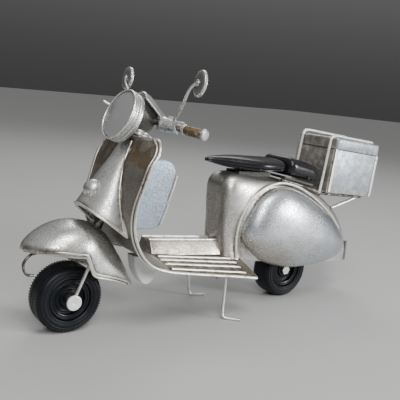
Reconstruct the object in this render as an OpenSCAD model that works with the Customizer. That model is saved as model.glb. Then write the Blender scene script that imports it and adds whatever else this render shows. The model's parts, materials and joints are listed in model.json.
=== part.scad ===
// Tin scooter ornament, handmade from sheet, wire and rubber.
// X points forward, Y to the scooter's left, Z up, in millimetres.
// The drawing frame has its origin on the ground midway between the wheels;
// frame_shift then moves everything so that the origin is under the middle.

/* [Wheels] */
// Distance between the two axles
wheelbase = 84; // [83:0.5:85]
// Outside diameter of both tyres
wheel_d = 20; // [19.6:0.1:20.2]
// Width of a tyre
tyre_w = 8.2; // [7.6:0.1:8.4]
// Diameter of both axles
axle_d = 2; // [1.6:0.1:2.2]
// Radial running clearance of everything that turns
clearance = 0.05; // [0.03:0.01:0.08]

/* [Sheet and wire] */
// Thickness of the pressed tin sheet
sheet_t = 0.5; // [0.4:0.05:0.6]
// Diameter of the border and trim wire
wire_d = 0.8; // [0.7:0.05:0.9]
// Diameter of the stand, strap and rack wire
rod_d = 0.9; // [0.8:0.05:1]

/* [Steering] */
// Lean of the steering axis from the vertical, degrees
rake = 23.3; // [23:0.1:23.6]
// Diameter of the steering column
column_d = 2.8; // [2.4:0.1:3]
// Outside diameter of the head tube
head_tube_d = 4.4; // [4.2:0.1:4.6]
// Diameter of the headlamp
lamp_d = 15.3; // [15:0.1:15.6]
// Height of the handlebar along the steering axis
bar_height = 56.4; // [56:0.1:56.8]
// Backward sweep of each half of the handlebar, degrees
bar_sweep = 18; // [16:1:20]
// Upward lean of each half of the handlebar, degrees
bar_lift = 1.5; // [0:0.5:3]
// Distance from the middle to the end of a grip cap
bar_reach = 21.2; // [20.8:0.1:21.6]
// Diameter of a mirror head
mirror_d = 7.3; // [7:0.1:7.6]

/* [Body] */
// Half the width of the leg shield and of the floor
shield_half_w = 16; // [15.6:0.1:16.4]
// Half the width of the rear body between the cowls
body_half_w = 8; // [7.8:0.1:8.2]
// How far a cowl bulges out from the side of the body
cowl_bulge = 7; // [6.4:0.1:7.6]
// Nose-up lean of the body, degrees
pitch = 5.5; // [5:0.1:6]

/* [Top box] */
// Length of the top box
box_l = 23.7; // [23:0.5:25]
// Width of the top box
box_w = 18.8; // [18:0.2:19.6]
// Height of the top box with its lid
box_h = 20; // [19:0.5:21]
// Height of the lid alone
lid_h = 4; // [3.6:0.1:4.4]

/* [Hidden] */
frame_shift = 11.23;
wheel_r = wheel_d / 2;
front_x = wheelbase / 2;
rear_x = -wheelbase / 2;
fork_y = 5.3;
race_d = 5;
arc_fn = 48;
small_fn = 24;
wire_sides = 8;

TIN = "silver";
WORN = "lightgray";
DARK = "dimgray";
BLACK = [0.08, 0.08, 0.09];
COPPER = "peru";
BLUE_GREY = "lightsteelblue";

// ---------------------------------------------------------------- curves
function blend(a, b, t) = a + (b - a) * t;

// Catmull-Rom point between p[i] and p[i + 1]
function between(p, i, t) =
    let (
        last = len(p) - 1,
        a = p[max(i - 1, 0)],
        b = p[i],
        c = p[min(i + 1, last)],
        d = p[min(i + 2, last)]
    )
    0.5 * (2 * b + (c - a) * t + (2 * a - 5 * b + 4 * c - d) * t * t
        + (3 * b - a - 3 * c + d) * t * t * t);

// Open smooth path through p, with n steps between neighbours
function smooth(p, n = 3) =
    concat([for (i = [0 : len(p) - 2], k = [0 : n - 1]) between(p, i, k / n)],
           [p[len(p) - 1]]);

// Closed smooth loop through p
function smooth_loop(p, n = 3) =
    let (
        m = len(p),
        q = concat([p[m - 1]], p, [p[0], p[1]])
    )
    [for (i = [1 : m], k = [0 : n - 1]) between(q, i, k / n)];

function mirror_y(p) = [for (v = p) [v[0], -v[1], v[2]]];
function unit(v) = v / norm(v);
function tangent(p, i) = unit(p[min(i + 1, len(p) - 1)] - p[max(i - 1, 0)]);

// One sideways vector per point, carried along the path without twist
function side_vectors(p, i = 0, out = []) =
    i == len(p) ? out :
    let (
        t = tangent(p, i),
        seed = abs(t[1]) < 0.8 ? [0, 1, 0] : [1, 0, 0],
        v = i == 0 ? seed : out[i - 1]
    )
    side_vectors(p, i + 1, concat(out, [unit(v - (v * t) * t)]));

// Round wire of diameter d along the points p
module wire(p, d = wire_d, sides = wire_sides) {
    side = side_vectors(p);
    m = len(p);
    points = [
        for (i = [0 : m - 1], k = [0 : sides - 1])
            let (
                a = 360 * k / sides,
                up = cross(tangent(p, i), side[i])
            )
            p[i] + d / 2 * (cos(a) * side[i] + sin(a) * up)
    ];
    walls = [
        for (i = [0 : m - 2], k = [0 : sides - 1])
            let (n = (k + 1) % sides)
            [i * sides + k, (i + 1) * sides + k, (i + 1) * sides + n, i * sides + n]
    ];
    start = [[for (k = [0 : sides - 1]) k]];
    end = [[for (k = [sides - 1 : -1 : 0]) (m - 1) * sides + k]];
    polyhedron(points, concat(walls, start, end), convexity = 6);
}

// ---------------------------------------------------------------- sheets
function grid_normal(g, i, j) =
    let (
        along = g[min(i + 1, len(g) - 1)][j] - g[max(i - 1, 0)][j],
        across = g[i][min(j + 1, len(g[0]) - 1)] - g[i][max(j - 1, 0)]
    )
    unit(cross(along, across));

// Sheet of thickness t under the grid of points g; its rows run lengthwise
// and its columns run from the right side to the left
module sheet(g, t = sheet_t) {
    m = len(g);
    n = len(g[0]);
    top = [for (row = g, p = row) p];
    under = [for (i = [0 : m - 1], j = [0 : n - 1]) g[i][j] - t * grid_normal(g, i, j)];
    low = m * n;
    top_faces = [
        for (i = [0 : m - 2], j = [0 : n - 2])
            [i * n + j, i * n + j + 1, (i + 1) * n + j + 1, (i + 1) * n + j]
    ];
    under_faces = [
        for (f = top_faces) [low + f[3], low + f[2], low + f[1], low + f[0]]
    ];
    rim = concat(
        [for (j = [0 : n - 2]) j],
        [for (i = [0 : m - 2]) i * n + n - 1],
        [for (j = [n - 1 : -1 : 1]) (m - 1) * n + j],
        [for (i = [m - 1 : -1 : 1]) i * n]
    );
    rim_faces = [
        for (k = [0 : len(rim) - 1])
            let (
                a = rim[k],
                b = rim[(k + 1) % len(rim)]
            )
            [b, a, low + a, low + b]
    ];
    polyhedron(concat(top, under), concat(top_faces, under_faces, rim_faces), convexity = 8);
}

// Rows of a canopy: each station is [crown x, crown z, rim x, rim z, half width,
// power], where a power of 1 gives an ellipse and a lower one a squarer arch
function canopy(stations, columns) = [
    for (s = stations) [
        for (j = [0 : columns])
            let (
                a = -90 + 180 * j / columns,
                reach = pow(max(cos(a), 0), s[5]),
                y = s[4] * sign(a) * pow(abs(sin(a)), s[5])
            )
            [blend(s[2], s[0], reach), y, blend(s[3], s[1], reach)]
    ]
];

// Rows of a panel that is bent gently across its width: [middle x, middle z,
// edge x, edge z, half width]
function panel(stations, columns) = [
    for (s = stations) [
        for (j = [0 : columns])
            let (u = 2 * j / columns - 1)
            [blend(s[0], s[2], u * u), u * s[4], blend(s[1], s[3], u * u)]
    ]
];

// Open dome on the body's side over a closed outline of [x, z] points
module dome(outline, centre, bulge, t, rings = 8) {
    y0 = body_half_w + 0.05;
    n = len(outline);
    function ring(k, inset) =
        let (a = 90 * k / rings)
        [for (p = outline)
            let (q = centre + (p - centre) * cos(a) * (1 - inset / norm(p - centre)))
            [q[0], side_y(q[0]) + 0.05 + (bulge - inset) * pow(sin(a), 0.85), q[1]]];
    outer = [for (k = [0 : rings - 1], p = ring(k, 0)) p];
    inner = [for (k = [0 : rings - 1], p = ring(k, t)) p];
    points = concat(outer, inner,
        [[centre[0], y0 + bulge, centre[1]], [centre[0], y0 + bulge - t, centre[1]]]);
    low = rings * n;
    tip = 2 * low;
    faces = concat(
        [for (k = [0 : rings - 2], i = [0 : n - 1])
            let (j = (i + 1) % n)
            [k * n + j, (k + 1) * n + j, (k + 1) * n + i, k * n + i]],
        [for (k = [0 : rings - 2], i = [0 : n - 1])
            let (j = (i + 1) % n)
            [low + k * n + i, low + (k + 1) * n + i, low + (k + 1) * n + j, low + k * n + j]],
        [for (i = [0 : n - 1]) [(rings - 1) * n + (i + 1) % n, tip, (rings - 1) * n + i]],
        [for (i = [0 : n - 1])
            [low + (rings - 1) * n + i, tip + 1, low + (rings - 1) * n + (i + 1) % n]],
        [for (i = [0 : n - 1])
            let (j = (i + 1) % n)
            [i, low + i, low + j, j]]
    );
    polyhedron(points, faces, convexity = 6);
}

// ---------------------------------------------------------------- places
module place() translate([frame_shift, 0, 0]) children();

// Steering frame: origin on the front axle, Z up the steering axis
module on_steering()
    place() translate([front_x, 0, wheel_r]) rotate([0, -rake, 0]) children();

// Top box frame: origin at the middle of the box's bottom front edge
box_front = [-52.3, 0, 39.6];
module on_box() place() translate(box_front) rotate([0, -pitch, 0]) children();

// One half of the handlebar: Z runs outward from the middle
module on_bar(side)
    on_steering() translate([-1, 0, bar_height])
        rotate([-(90 - bar_lift) * side, 0, side * bar_sweep]) children();

module both_sides() {
    for (side = [-1, 1]) on_bar(side) children();
}

// Round bar of radius r along Y
module bar_y(r, from, to, fn = arc_fn) translate([0, from, 0]) rotate([-90, 0, 0])
    cylinder(r = r, h = to - from, $fn = fn);

// ---------------------------------------------------------------- outlines
// Leg shield from its top edge to the foot: panel stations
shield_stations = [
    [25.0, 56.2, 23.0, 56.8, 12.6],
    [25.7, 55.0, 23.6, 55.4, shield_half_w - 0.7],
    [26.7, 53.0, 24.7, 53.0, shield_half_w + 0.5],
    [28.6, 49.8, 26.6, 49.7, shield_half_w + 0.5],
    [30.2, 44.3, 28.3, 44.1, shield_half_w + 0.2],
    [31.3, 39.5, 29.7, 39.4, shield_half_w],
    [31.0, 35.4, 30.2, 35.4, shield_half_w],
    [29.9, 31.4, 29.8, 31.2, shield_half_w],
    [28.6, 27.8, 28.4, 27.4, shield_half_w],
    [26.4, 24.8, 25.8, 23.7, shield_half_w - 0.2],
    [22.8, 22.6, 22.3, 21.0, shield_half_w - 0.4],
    [18.0, 21.4, 17.2, 19.2, shield_half_w - 0.4]
];
// Floor from the foot of the shield to its rear end
floor_stations = [
    [18.0, 21.4, 17.2, 19.2, shield_half_w - 0.4],
    [10.0, 20.5, 10.0, 17.9, shield_half_w - 0.4],
    [0.0, 19.4, 0.0, 16.3, shield_half_w - 0.3],
    [-10.0, 18.3, -10.0, 14.8, shield_half_w - 0.1],
    [-17.0, 17.5, -16.5, 13.7, shield_half_w]
];
// Front mudguard from its tip to the back of its skirt
mudguard_stations = [
    [55.2, 25.2, 54.8, 24.9, 1.2, 0.9],
    [53.6, 26.9, 52.6, 25.1, 4.6, 0.9],
    [50.6, 29.2, 49.6, 25.0, 7.0, 0.9],
    [46.3, 31.2, 46.0, 24.6, 8.5, 0.9],
    [41.5, 32.1, 42.8, 24.1, 9.0, 0.9],
    [37.0, 31.6, 40.3, 23.6, 9.1, 0.9],
    [33.3, 29.6, 38.9, 20.6, 9.0, 0.9],
    [30.3, 26.4, 37.4, 18.1, 8.8, 0.9],
    [27.6, 22.4, 33.6, 16.7, 8.2, 0.9],
    [24.8, 17.6, 29.8, 15.4, 7.3, 0.9],
    [22.2, 12.8, 25.8, 13.6, 6.0, 0.9]
];
// Horn cover from its narrow top to its lower edge
cover_stations = [
    [25.9, 55.4, 25.1, 55.2, 2.6, 1],
    [29.2, 51.2, 27.5, 50.6, 3.9, 1],
    [32.6, 46.8, 29.4, 45.0, 5.6, 1],
    [36.1, 42.0, 30.6, 39.0, 7.8, 1],
    [39.7, 37.1, 29.6, 29.4, 10.4, 1]
];
// Rear body: up its front, along its top and down its tail
body_stations = [
    [-10.2, 17.6, -15.4, 17.3, body_half_w - 1.6, 0.55],
    [-9.4, 24.6, -16.0, 18.0, body_half_w - 2.0, 0.5],
    [-9.0, 31.5, -17.0, 18.0, body_half_w - 1.9, 0.48],
    [-8.8, 39.0, -18.5, 17.6, body_half_w - 1.2, 0.46],
    [-9.2, 43.4, -21.0, 17.2, body_half_w - 0.6, 0.44],
    [-12.6, 45.4, -24.0, 16.8, body_half_w - 0.2, 0.42],
    [-20.0, 44.9, -29.0, 16.2, body_half_w, 0.42],
    [-30.0, 43.7, -35.0, 15.5, body_half_w, 0.42],
    [-40.0, 42.0, -42.0, 14.7, body_half_w, 0.42],
    [-49.0, 39.3, -49.0, 14.0, body_half_w, 0.42],
    [-57.0, 35.3, -55.5, 13.3, body_half_w - 0.3, 0.45],
    [-63.5, 30.4, -61.0, 12.8, body_half_w - 0.9, 0.5],
    [-68.3, 24.6, -65.5, 12.4, body_half_w - 1.8, 0.55],
    [-71.2, 18.4, -69.0, 12.0, body_half_w - 3.0, 0.6],
    [-72.4, 12.4, -71.6, 11.8, body_half_w - 4.2, 0.6]
];
// Cowl edge where it meets the side of the body, [x, z]
cowl_outline = smooth_loop([
    [-15.6, 25.0], [-17.6, 33.5], [-22.6, 39.4], [-30.2, 41.8], [-40.0, 39.4],
    [-51.0, 33.6], [-61.0, 26.2], [-66.6, 19.6], [-62.0, 15.0], [-50.0, 13.4],
    [-36.0, 13.4], [-23.5, 17.2]
], 3);
cowl_centre = [-36.5, 26.5];
// Half width of the body's side, which narrows at its nose and at its tail
function side_y(x) =
    x > -22 ? body_half_w - pow((x + 22) / 6.4, 2)
    : x < -55 ? blend(body_half_w, body_half_w - 1.9, (-55 - x) / 12)
    : body_half_w;
// Arch wire round the top of a cowl, [x, y, z]
arch_line = [
    [-14.6, 6.6, 18.4], [-13.8, 6.8, 25.0], [-14.2, 7.4, 31.2], [-17.2, 7.9, 37.4],
    [-22.0, 7.9, 41.0], [-27.6, 7.7, 42.9], [-33.0, 7.6, 43.0], [-40.0, 7.7, 41.2],
    [-48.0, 7.7, 37.2], [-56.8, 7.5, 31.4], [-63.4, 6.9, 25.6]
];

function rim_points(stations, side) = [for (s = stations) [s[2], side * s[4], s[3]]];
function floor_height(x, y) =
    let (
        crown = blend(18.3, 20.5, (x + 10) / 20),
        edge = blend(14.8, 17.9, (x + 10) / 20),
        u = y / shield_half_w
    )
    blend(crown, edge, u * u);

// ---------------------------------------------------------------- leg shield
module head_tube_cut(extra) {
    on_steering() cylinder(d = head_tube_d + 2 * extra, h = 60, $fn = arc_fn);
}

module head_tube() {
    color(TIN) on_steering() difference() {
        translate([0, 0, 27.2]) cylinder(d = head_tube_d, h = 23.3, $fn = arc_fn);
        translate([0, 0, 20]) cylinder(d = column_d + 2 * clearance, h = 40, $fn = arc_fn);
    }
}

module leg_shield() {
    color(TIN) difference() {
        place() sheet(panel(smooth(shield_stations, 2), 12));
        head_tube_cut(0.1);
        on_steering() cylinder(d = race_d + 0.8, h = 28, $fn = arc_fn);
    }
}

module shield_wire(side) {
    top = [for (y = [1, 6]) [24.2 - y * 0.1, side * y, 56.6]];
    edge = rim_points(shield_stations, side);
    run = rim_points([for (i = [1 : len(floor_stations) - 1]) floor_stations[i]], side);
    color(WORN) place() wire(smooth(concat(top, edge, run), 2));
}

module shield_wire_left() shield_wire(1);
module shield_wire_right() shield_wire(-1);

module horn_cover() {
    color(TIN) place() sheet(canopy(smooth(cover_stations, 3), 12));
}

module horn_cover_wires() {
    lift = [0.3, 0, 0.1];
    color(WORN) place() {
        for (side = [-1, 1])
            wire(smooth([for (p = rim_points(cover_stations, side)) p + lift], 2), wire_d, 6);
        wire(canopy([cover_stations[4]], 14)[0], 0.9, 6);
    }
}

module horn_dome() {
    horn_at = [35.8, 1, 41.2];
    horn_d = 5.8;
    color(WORN) place() translate(horn_at) sphere(d = horn_d, $fn = arc_fn);
}

module glove_box() {
    width = 16;
    side_view = [
        [16.0, 50.6], [13.9, 49.6], [12.7, 47.2], [12.9, 45.0], [17.0, 31.8],
        [18.6, 30.4], [26.8, 30.4], [29.4, 36.0], [29.0, 41.0], [27.2, 46.5], [25.2, 50.4]
    ];
    color(BLUE_GREY) difference() {
        place() translate([0, width / 2, 0]) rotate([90, 0, 0])
            linear_extrude(width) polygon(side_view);
        head_tube_cut(0.15);
    }
}

module glove_box_wire() {
    color(WORN) place() {
        wire([[12.5, 8.1, 46.2], [13.6, 8.2, 42.2], [14.9, 8.2, 38.4]], 0.7, 6);
        wire([[14.9, 8.2, 37.6], [16.2, 8.2, 33.8], [17.5, 8.1, 30.6]], 0.7, 6);
    }
}

// ---------------------------------------------------------------- floor
module floor_pan() {
    color(TIN) place() sheet(panel(floor_stations, 12));
}

module floor_ribs() {
    rib_lift = 0.6;
    color(WORN) place() for (side = [-1, 1], y = [6.6, 9.2, 11.8, 14.6])
        wire([for (x = [16, 9, 2, -5, -12]) [x, side * y, floor_height(x, y) + rib_lift]],
             wire_d, 6);
}

tunnel_slope = 4.3;
module tunnel() {
    section = [[-4.6, 0], [4.6, 0], [2.6, 4.4], [-2.6, 4.4]];
    length = 27.4;
    color(TIN) place() difference() {
        translate([17.6, 0, 21.0]) rotate([0, 90 + tunnel_slope, 180])
            rotate([0, 0, 90]) linear_extrude(length) polygon(section);
        translate([16.6, -10, 10]) rotate([0, -10, 0]) cube([10, 20, 30]);
    }
}

module tunnel_rails() {
    length = 26.4;
    color(WORN) place() for (side = [-1, 1])
        translate([16.9, side * 2.1, 25.5]) rotate([0, -90 - tunnel_slope, 0])
            cylinder(d = wire_d, h = length, $fn = small_fn);
}

module spine_foot() {
    width = 4.4;
    color("gainsboro") place() translate([0, width / 2, 0]) rotate([90, 0, 0])
        linear_extrude(width) polygon(smooth([
            [21.6, 20.6], [20.8, 16.4], [19.2, 13.2], [17.0, 11.2],
            [14.8, 11.8], [13.6, 14.4], [13.2, 19.6]
        ]));
}

// ---------------------------------------------------------------- rear body
module body_shell() {
    color(TIN) place() sheet(canopy(smooth(body_stations, 2), 16));
}

module arch_wires() {
    color(WORN) place() {
        wire(smooth(arch_line, 2), rod_d);
        wire(mirror_y(smooth(arch_line, 2)), rod_d);
    }
}

module cowl_left() {
    color(TIN) place() dome(cowl_outline, cowl_centre, cowl_bulge, sheet_t);
}

module cowl_right() {
    color(TIN) place() mirror([0, 1, 0])
        dome(cowl_outline, cowl_centre, cowl_bulge, sheet_t);
}

module saddle_base() {
    size = [14, 7, 1.5];
    color(DARK) place() translate([-15, 0, 45.1]) rotate([0, -2, 0])
        translate([-size[0], -size[1] / 2, 0]) cube(size);
}

module saddle() {
    color(BLACK) place() hull() {
        translate([-4.4, 0, 50]) sphere(r = 1.1, $fn = 16);
        translate([-10, 0, 48.6]) sphere(r = 1.6, $fn = 16);
        for (side = [-1, 1]) {
            translate([-22, side * 6.8, 48.9]) sphere(r = 2, $fn = 16);
            translate([-31.4, side * 5.6, 48.9]) sphere(r = 2, $fn = 16);
            translate([-16, side * 2.4, 50.4]) sphere(r = 1, $fn = 16);
        }
    }
}

module pillion_pan() {
    size = [14.6, 12, 0.7];
    color(DARK) place() translate([-33.6, 0, 44.5]) rotate([0, -12, 0])
        translate([-size[0], -size[1] / 2, 0]) cube(size);
}

module pillion() {
    r = 2.2;
    half = 5.9;
    corners = [[-36.2, 47.6], [-36.6, 49.4], [-47.8, 44.8], [-47.2, 47.7]];
    color(BLACK) place() hull() for (side = [-1, 1], p = corners)
        translate([p[0], side * half, p[1]]) sphere(r = r, $fn = 16);
}

// ---------------------------------------------------------------- rack and box
rail_y = 6.7;

module rack_rails() {
    color(DARK) place() for (side = [-1, 1])
        wire(smooth([
            [-31.2, side * rail_y, 44.2], [-40.0, side * rail_y, 42.2], [-49.0, side * rail_y, 39.9],
            [-53.0, side * rail_y, 38.8], [-64.0, side * rail_y, 37.8], [-74.5, side * rail_y, 36.8]
        ], 2), rod_d, 8);
}

module rack_struts() {
    strut_d = 1.1;
    color(WORN) place() {
        for (side = [-1, 1])
            wire([[-58.6, side * 6.4, 33.3], [-64.2, side * 6.6, 34.9], [-70.2, side * 6.8, 36.6]],
                 strut_d, 8);
        for (x = [-54.5, -73.5])
            translate([x, 0, 38.6 + (x + 54.5) * 0.095]) bar_y(rod_d / 2, -rail_y, rail_y, small_fn);
    }
}

module box_case() {
    wall = 0.6;
    color(BLUE_GREY) on_box() translate([-box_l, -box_w / 2, 0.1]) difference() {
        cube([box_l, box_w, box_h - lid_h - 0.1]);
        translate([wall, wall, wall])
            cube([box_l - 2 * wall, box_w - 2 * wall, box_h]);
    }
}

module box_lid() {
    wall = 0.7;
    lip = 0.3;
    size = [box_l + 2 * lip, box_w + 2 * lip, lid_h];
    color(BLUE_GREY) on_box() translate([-box_l - lip, -size[1] / 2, box_h - lid_h])
        difference() {
            cube(size);
            translate([wall, wall, -1])
                cube([size[0] - 2 * wall, size[1] - 2 * wall, lid_h + 1 - wall]);
        }
}

module box_straps() {
    y = 7;
    color(WORN) on_box() for (side = [-1, 1])
        let (gap = rod_d / 2 + (side > 0 ? 0.05 : 0.8))
        wire(smooth([
            [1.9, side * y, -0.6], [1.5, side * y, 6], [1.3, side * y, 12],
            [1.1, side * y, 17.6], [0.6, side * y, box_h + gap - 0.7], [-1.6, side * y, box_h + gap],
            [-8, side * y, box_h + gap], [-15, side * y, box_h + gap], [-22, side * y, box_h + gap]
        ], 2), rod_d, 8);
}

module box_corner_strips() {
    leg = 1.6;
    skin = 0.25;
    color(WORN) on_box() for (side = [-1, 1], x = [0, -box_l])
        translate([x, side * box_w / 2, 0.4]) difference() {
            translate([x == 0 ? -leg : -skin, side > 0 ? -leg : -skin, 0])
                cube([leg + skin, leg + skin, box_h - lid_h - 0.6]);
            translate([x == 0 ? -leg - 1 : 0, side > 0 ? -leg - 1 : 0, -1])
                cube([leg + 1, leg + 1, box_h]);
        }
}

module tail_light() {
    tail_light_at = [-65.8, 0, 26.6];
    tail_light_r = 3.2;
    color(WORN) place() translate(tail_light_at) rotate([0, -62, 0])
        rotate_extrude($fn = arc_fn) difference() {
            circle(r = tail_light_r);
            translate([-5, -5]) square([5, 10]);
            translate([-5, -5]) square([10, 4.4]);
        }
}

module number_plate() {
    plate = [0.6, 7.2, 7.4];
    block = [1.4, 2.4, 2.2];
    color(DARK) place() {
        translate([-73.6, -plate[1] / 2, 11.2]) cube(plate);
        translate([-73.0, -block[1] / 2, 12.4]) cube(block);
    }
}

// ---------------------------------------------------------------- rear wheel
module swing_arm() {
    inner_y = 5.4;
    t = 1.4;
    eye_r = 2.4;
    color(DARK) place() difference() {
        union() {
            translate([rear_x, 0, wheel_r]) bar_y(eye_r, -inner_y - t, -inner_y);
            translate([0, -inner_y, 0]) rotate([90, 0, 0]) linear_extrude(t)
                polygon([[-43.6, 10.6], [-40.4, 8.4], [-24.0, 20.4], [-26.0, 25.0], [-30.0, 25.0]]);
            translate([-30, -7.7, 20.8]) cube([6, 2.2, 4.2]);
        }
        translate([rear_x, 0, wheel_r]) bar_y(axle_d / 2, -9, 0);
    }
}

module rear_axle() {
    nut_r = 1.7;
    color(WORN) place() translate([rear_x, 0, wheel_r]) {
        bar_y(axle_d / 2, -6.8, 3.0);
        bar_y(nut_r, 2.9, 3.7, 6);
    }
}

// ---------------------------------------------------------------- stand
stand_pivot = [-8.4, 0, 13.2];

module stand_brackets() {
    color(TIN) place() for (side = [-1, 1]) difference() {
        translate([stand_pivot[0] - 1.4, side * 7 - 0.5, stand_pivot[2] - 1.3])
            cube([2.8, 1, 5.4]);
        translate(stand_pivot) bar_y(rod_d / 2 + clearance, -9, 9, small_fn);
    }
}

module stand() {
    half = 10.2;
    sole = rod_d / 2 + 0.02;
    left_leg = [
        [-8.1, 10.6, 9.5], [-7.4, 11.4, 5], [-6.8, 12.2, 1.6], [-7.2, 12.8, sole + 0.15],
        [-8.8, 14.3, sole], [-11, 16.4, sole]
    ];
    right_leg = [
        [-8.2, -10.1, 9.5], [-8.5, -10, 5], [-9, -9.9, 1.6], [-9.8, -9.6, sole + 0.15],
        [-11.8, -8.7, sole], [-14.2, -7.6, sole]
    ];
    color(WORN) place() {
        translate(stand_pivot) bar_y(rod_d / 2, -half, half, small_fn);
        for (leg = [left_leg, right_leg])
            wire(concat([stand_pivot + [0, sign(leg[0][1]) * half, 0.3]], smooth(leg, 2)),
                 rod_d, 8);
    }
}

// ---------------------------------------------------------------- steering
module steering_column() {
    foot = 13.4;
    head = 52.4;
    color(DARK) on_steering() translate([0, 0, foot])
        cylinder(d = column_d, h = head - foot, $fn = arc_fn);
}

module collar(z, d, h) {
    on_steering() translate([0, 0, z]) difference() {
        cylinder(d = d, h = h, $fn = arc_fn);
        translate([0, 0, -1]) cylinder(d = column_d, h = h + 2, $fn = arc_fn);
    }
}

module lower_race() color(DARK) collar(25.9, race_d, 1.2);
module neck_collar() color(WORN) collar(50.6, 6.4, 1.7);

module headset() {
    hood = [
        [4.8, 61.2], [4.4, 62.3], [1.6, 61.8], [-5.4, 59.0], [-6.2, 58.2], [-6.0, 56.6],
        [-5.2, 56.6], [-5.1, 57.9], [1.6, 60.8], [3.6, 61.2]
    ];
    core = [
        [5.2, 51.4], [5.2, 60.8], [3.4, 61.6], [1.6, 61.3], [-2.6, 59.5], [-2.6, 53.6], [-1.8, 52.4],
        [1.6, 52.4], [3.6, 51.4]
    ];
    hood_w = 7.2;
    core_w = 4;
    color(TIN) on_steering() rotate([90, 0, 0]) {
        translate([0, 0, -hood_w / 2]) linear_extrude(hood_w) polygon(hood);
        translate([0, 0, -core_w / 2]) linear_extrude(core_w) polygon(core);
    }
}

// Everything of the lamp turns about the axis of its face
lamp_height = 53.6;
lamp_face = 9.1;
module on_lamp() on_steering() translate([0, 0, lamp_height]) rotate([0, 90, 0]) children();

module lamp_bowl() {
    color(TIN) on_lamp() rotate_extrude($fn = arc_fn)
        polygon([[0, 4.85], [0, 5.3], [lamp_d / 2 - 0.4, 5.3], [lamp_d / 2 - 0.7, 5.0],
                 [5.6, 4.4], [4.4, 3.6], [3.4, 3.4], [0, 3.4]]);
}

module ring(r_out, r_in, from, to) {
    rotate_extrude($fn = arc_fn) polygon([
        [r_in, from], [r_out - 0.25, from], [r_out, from + 0.3],
        [r_out, to - 0.3], [r_out - 0.25, to], [r_in, to]
    ]);
}

module lamp_rim() color(TIN) on_lamp() ring(lamp_d / 2, 6.4, 5.3, 6.95);
module lamp_bezel() color(WORN) on_lamp() ring(lamp_d / 2 + 0.1, 6.9, 7.05, lamp_face);

module lamp_glass() {
    lamp_face_r = 6.88;
    color(WORN) on_lamp() translate([0, 0, 6.95]) cylinder(r = lamp_face_r, h = 1.85, $fn = arc_fn);
}

bar_r = 1;
grip_from = 14.3;
grip_to = 20.4;
module handlebar() {
    color(DARK) both_sides() translate([0, 0, 0.5]) cylinder(r = bar_r, h = 18.5, $fn = small_fn);
}

module bar_collars() {
    color(TIN) both_sides() difference() {
        translate([0, 0, 5.6]) cylinder(r1 = 2.1, r2 = 1.7, h = 5.4, $fn = arc_fn);
        cylinder(r = bar_r, h = bar_reach, $fn = small_fn);
    }
}

module grips() {
    color(COPPER) both_sides() difference() {
        translate([0, 0, grip_from])
            cylinder(r1 = 1.35, r2 = 1.45, h = grip_to - grip_from, $fn = arc_fn);
        cylinder(r = bar_r, h = 19, $fn = small_fn);
    }
}

module grip_ferrules() {
    cap_r = 1.6;
    color(WORN) both_sides() {
        translate([0, 0, grip_to])
            cylinder(r = cap_r, h = bar_reach + 0.3 - grip_to, $fn = arc_fn);
        difference() {
            translate([0, 0, grip_from - 1.1]) cylinder(r = cap_r - 0.1, h = 1, $fn = arc_fn);
            cylinder(r = bar_r, h = bar_reach, $fn = small_fn);
        }
    }
}

module levers() {
    color(WORN) {
        on_steering() wire(smooth([
            [-4.6, 11.6, 55.0], [-2.6, 12.0, 56.0], [-1.4, 13.2, 57.2], [-2.6, 15.6, 57.6]
        ], 3), 0.7, 6);
        on_steering() wire(smooth([
            [-4.6, -11.6, 55.0], [-2.4, -12.4, 55.8], [1.6, -14.2, 56.8], [6.6, -16.8, 57.5]
        ], 3), 0.7, 6);
    }
}

mirror_at = [1.2, 19.95, 68.2];
module on_mirror(side)
    on_steering() translate([mirror_at[0], side * mirror_at[1], mirror_at[2]])
        rotate([0, 90 + rake - 8, side > 0 ? -12 : -6]) children();

module mirror_stems() {
    color(DARK) for (side = [-1, 1]) on_steering()
        wire(smooth([
            [-3.6, side * 8.6, 57.2], [-1.0, side * 13.6, 61.4], [1.7, side * 17.8, 65.9],
            [1.9, side * 19.8, 68.4]
        ], 2), rod_d, 8);
}

module mirror_heads() {
    color(DARK) for (side = [-1, 1]) on_mirror(side) difference() {
        translate([0, 0, -0.9]) cylinder(d = mirror_d, h = 1.3, $fn = arc_fn);
        translate([0, 0, -1.9]) cylinder(d = mirror_d - 0.8, h = 1.4, $fn = arc_fn);
    }
}

module mirror_glasses() {
    color("white") for (side = [-1, 1]) on_mirror(side)
        translate([0, 0, -0.75]) cylinder(d = mirror_d - 0.8, h = 0.25, $fn = arc_fn);
}

// ---------------------------------------------------------------- fork and guard
module fork() {
    color(WORN) on_steering() {
        difference() {
            union() {
                translate([0, 0, 14]) bar_y(1, -fork_y - 0.5, fork_y + 0.5, small_fn);
                for (side = [-1, 1]) {
                    translate([0, side * fork_y, 0]) cylinder(r = 0.5, h = 14, $fn = small_fn);
                    bar_y(1.7, side * fork_y - 0.4, side * fork_y + 0.4);
                }
            }
            bar_y(axle_d / 2, -8, 8);
            translate([0, 0, 13.4]) cylinder(d = column_d, h = 5, $fn = arc_fn);
        }
    }
}

module mudguard() {
    color(TIN) difference() {
        place() sheet(canopy(smooth(mudguard_stations, 2), 14));
        on_steering() cylinder(d = column_d, h = 60, $fn = arc_fn);
    }
}

module mudguard_rim() {
    left = smooth(rim_points(mudguard_stations, 1), 2);
    right = smooth(rim_points(mudguard_stations, -1), 2);
    back = [for (i = [len(right) - 1 : -1 : 0]) right[i]];
    color(WORN) place() {
        wire(left, wire_d, 6);
        wire(back, wire_d, 6);
    }
}

module bumper_wire() {
    color(DARK) place() wire(smooth([
        [47.2, 0, 24.2], [50.6, 0, 23.6], [53.0, 0, 23.0], [54.7, 0, 20.6],
        [53.8, 0, 17.8], [51.6, 0, 17.2]
    ], 3), 0.8, 8);
}

module front_axle() {
    color(DARK) place() translate([front_x, 0, wheel_r]) bar_y(axle_d / 2, -5.75, 5.75);
}

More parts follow.
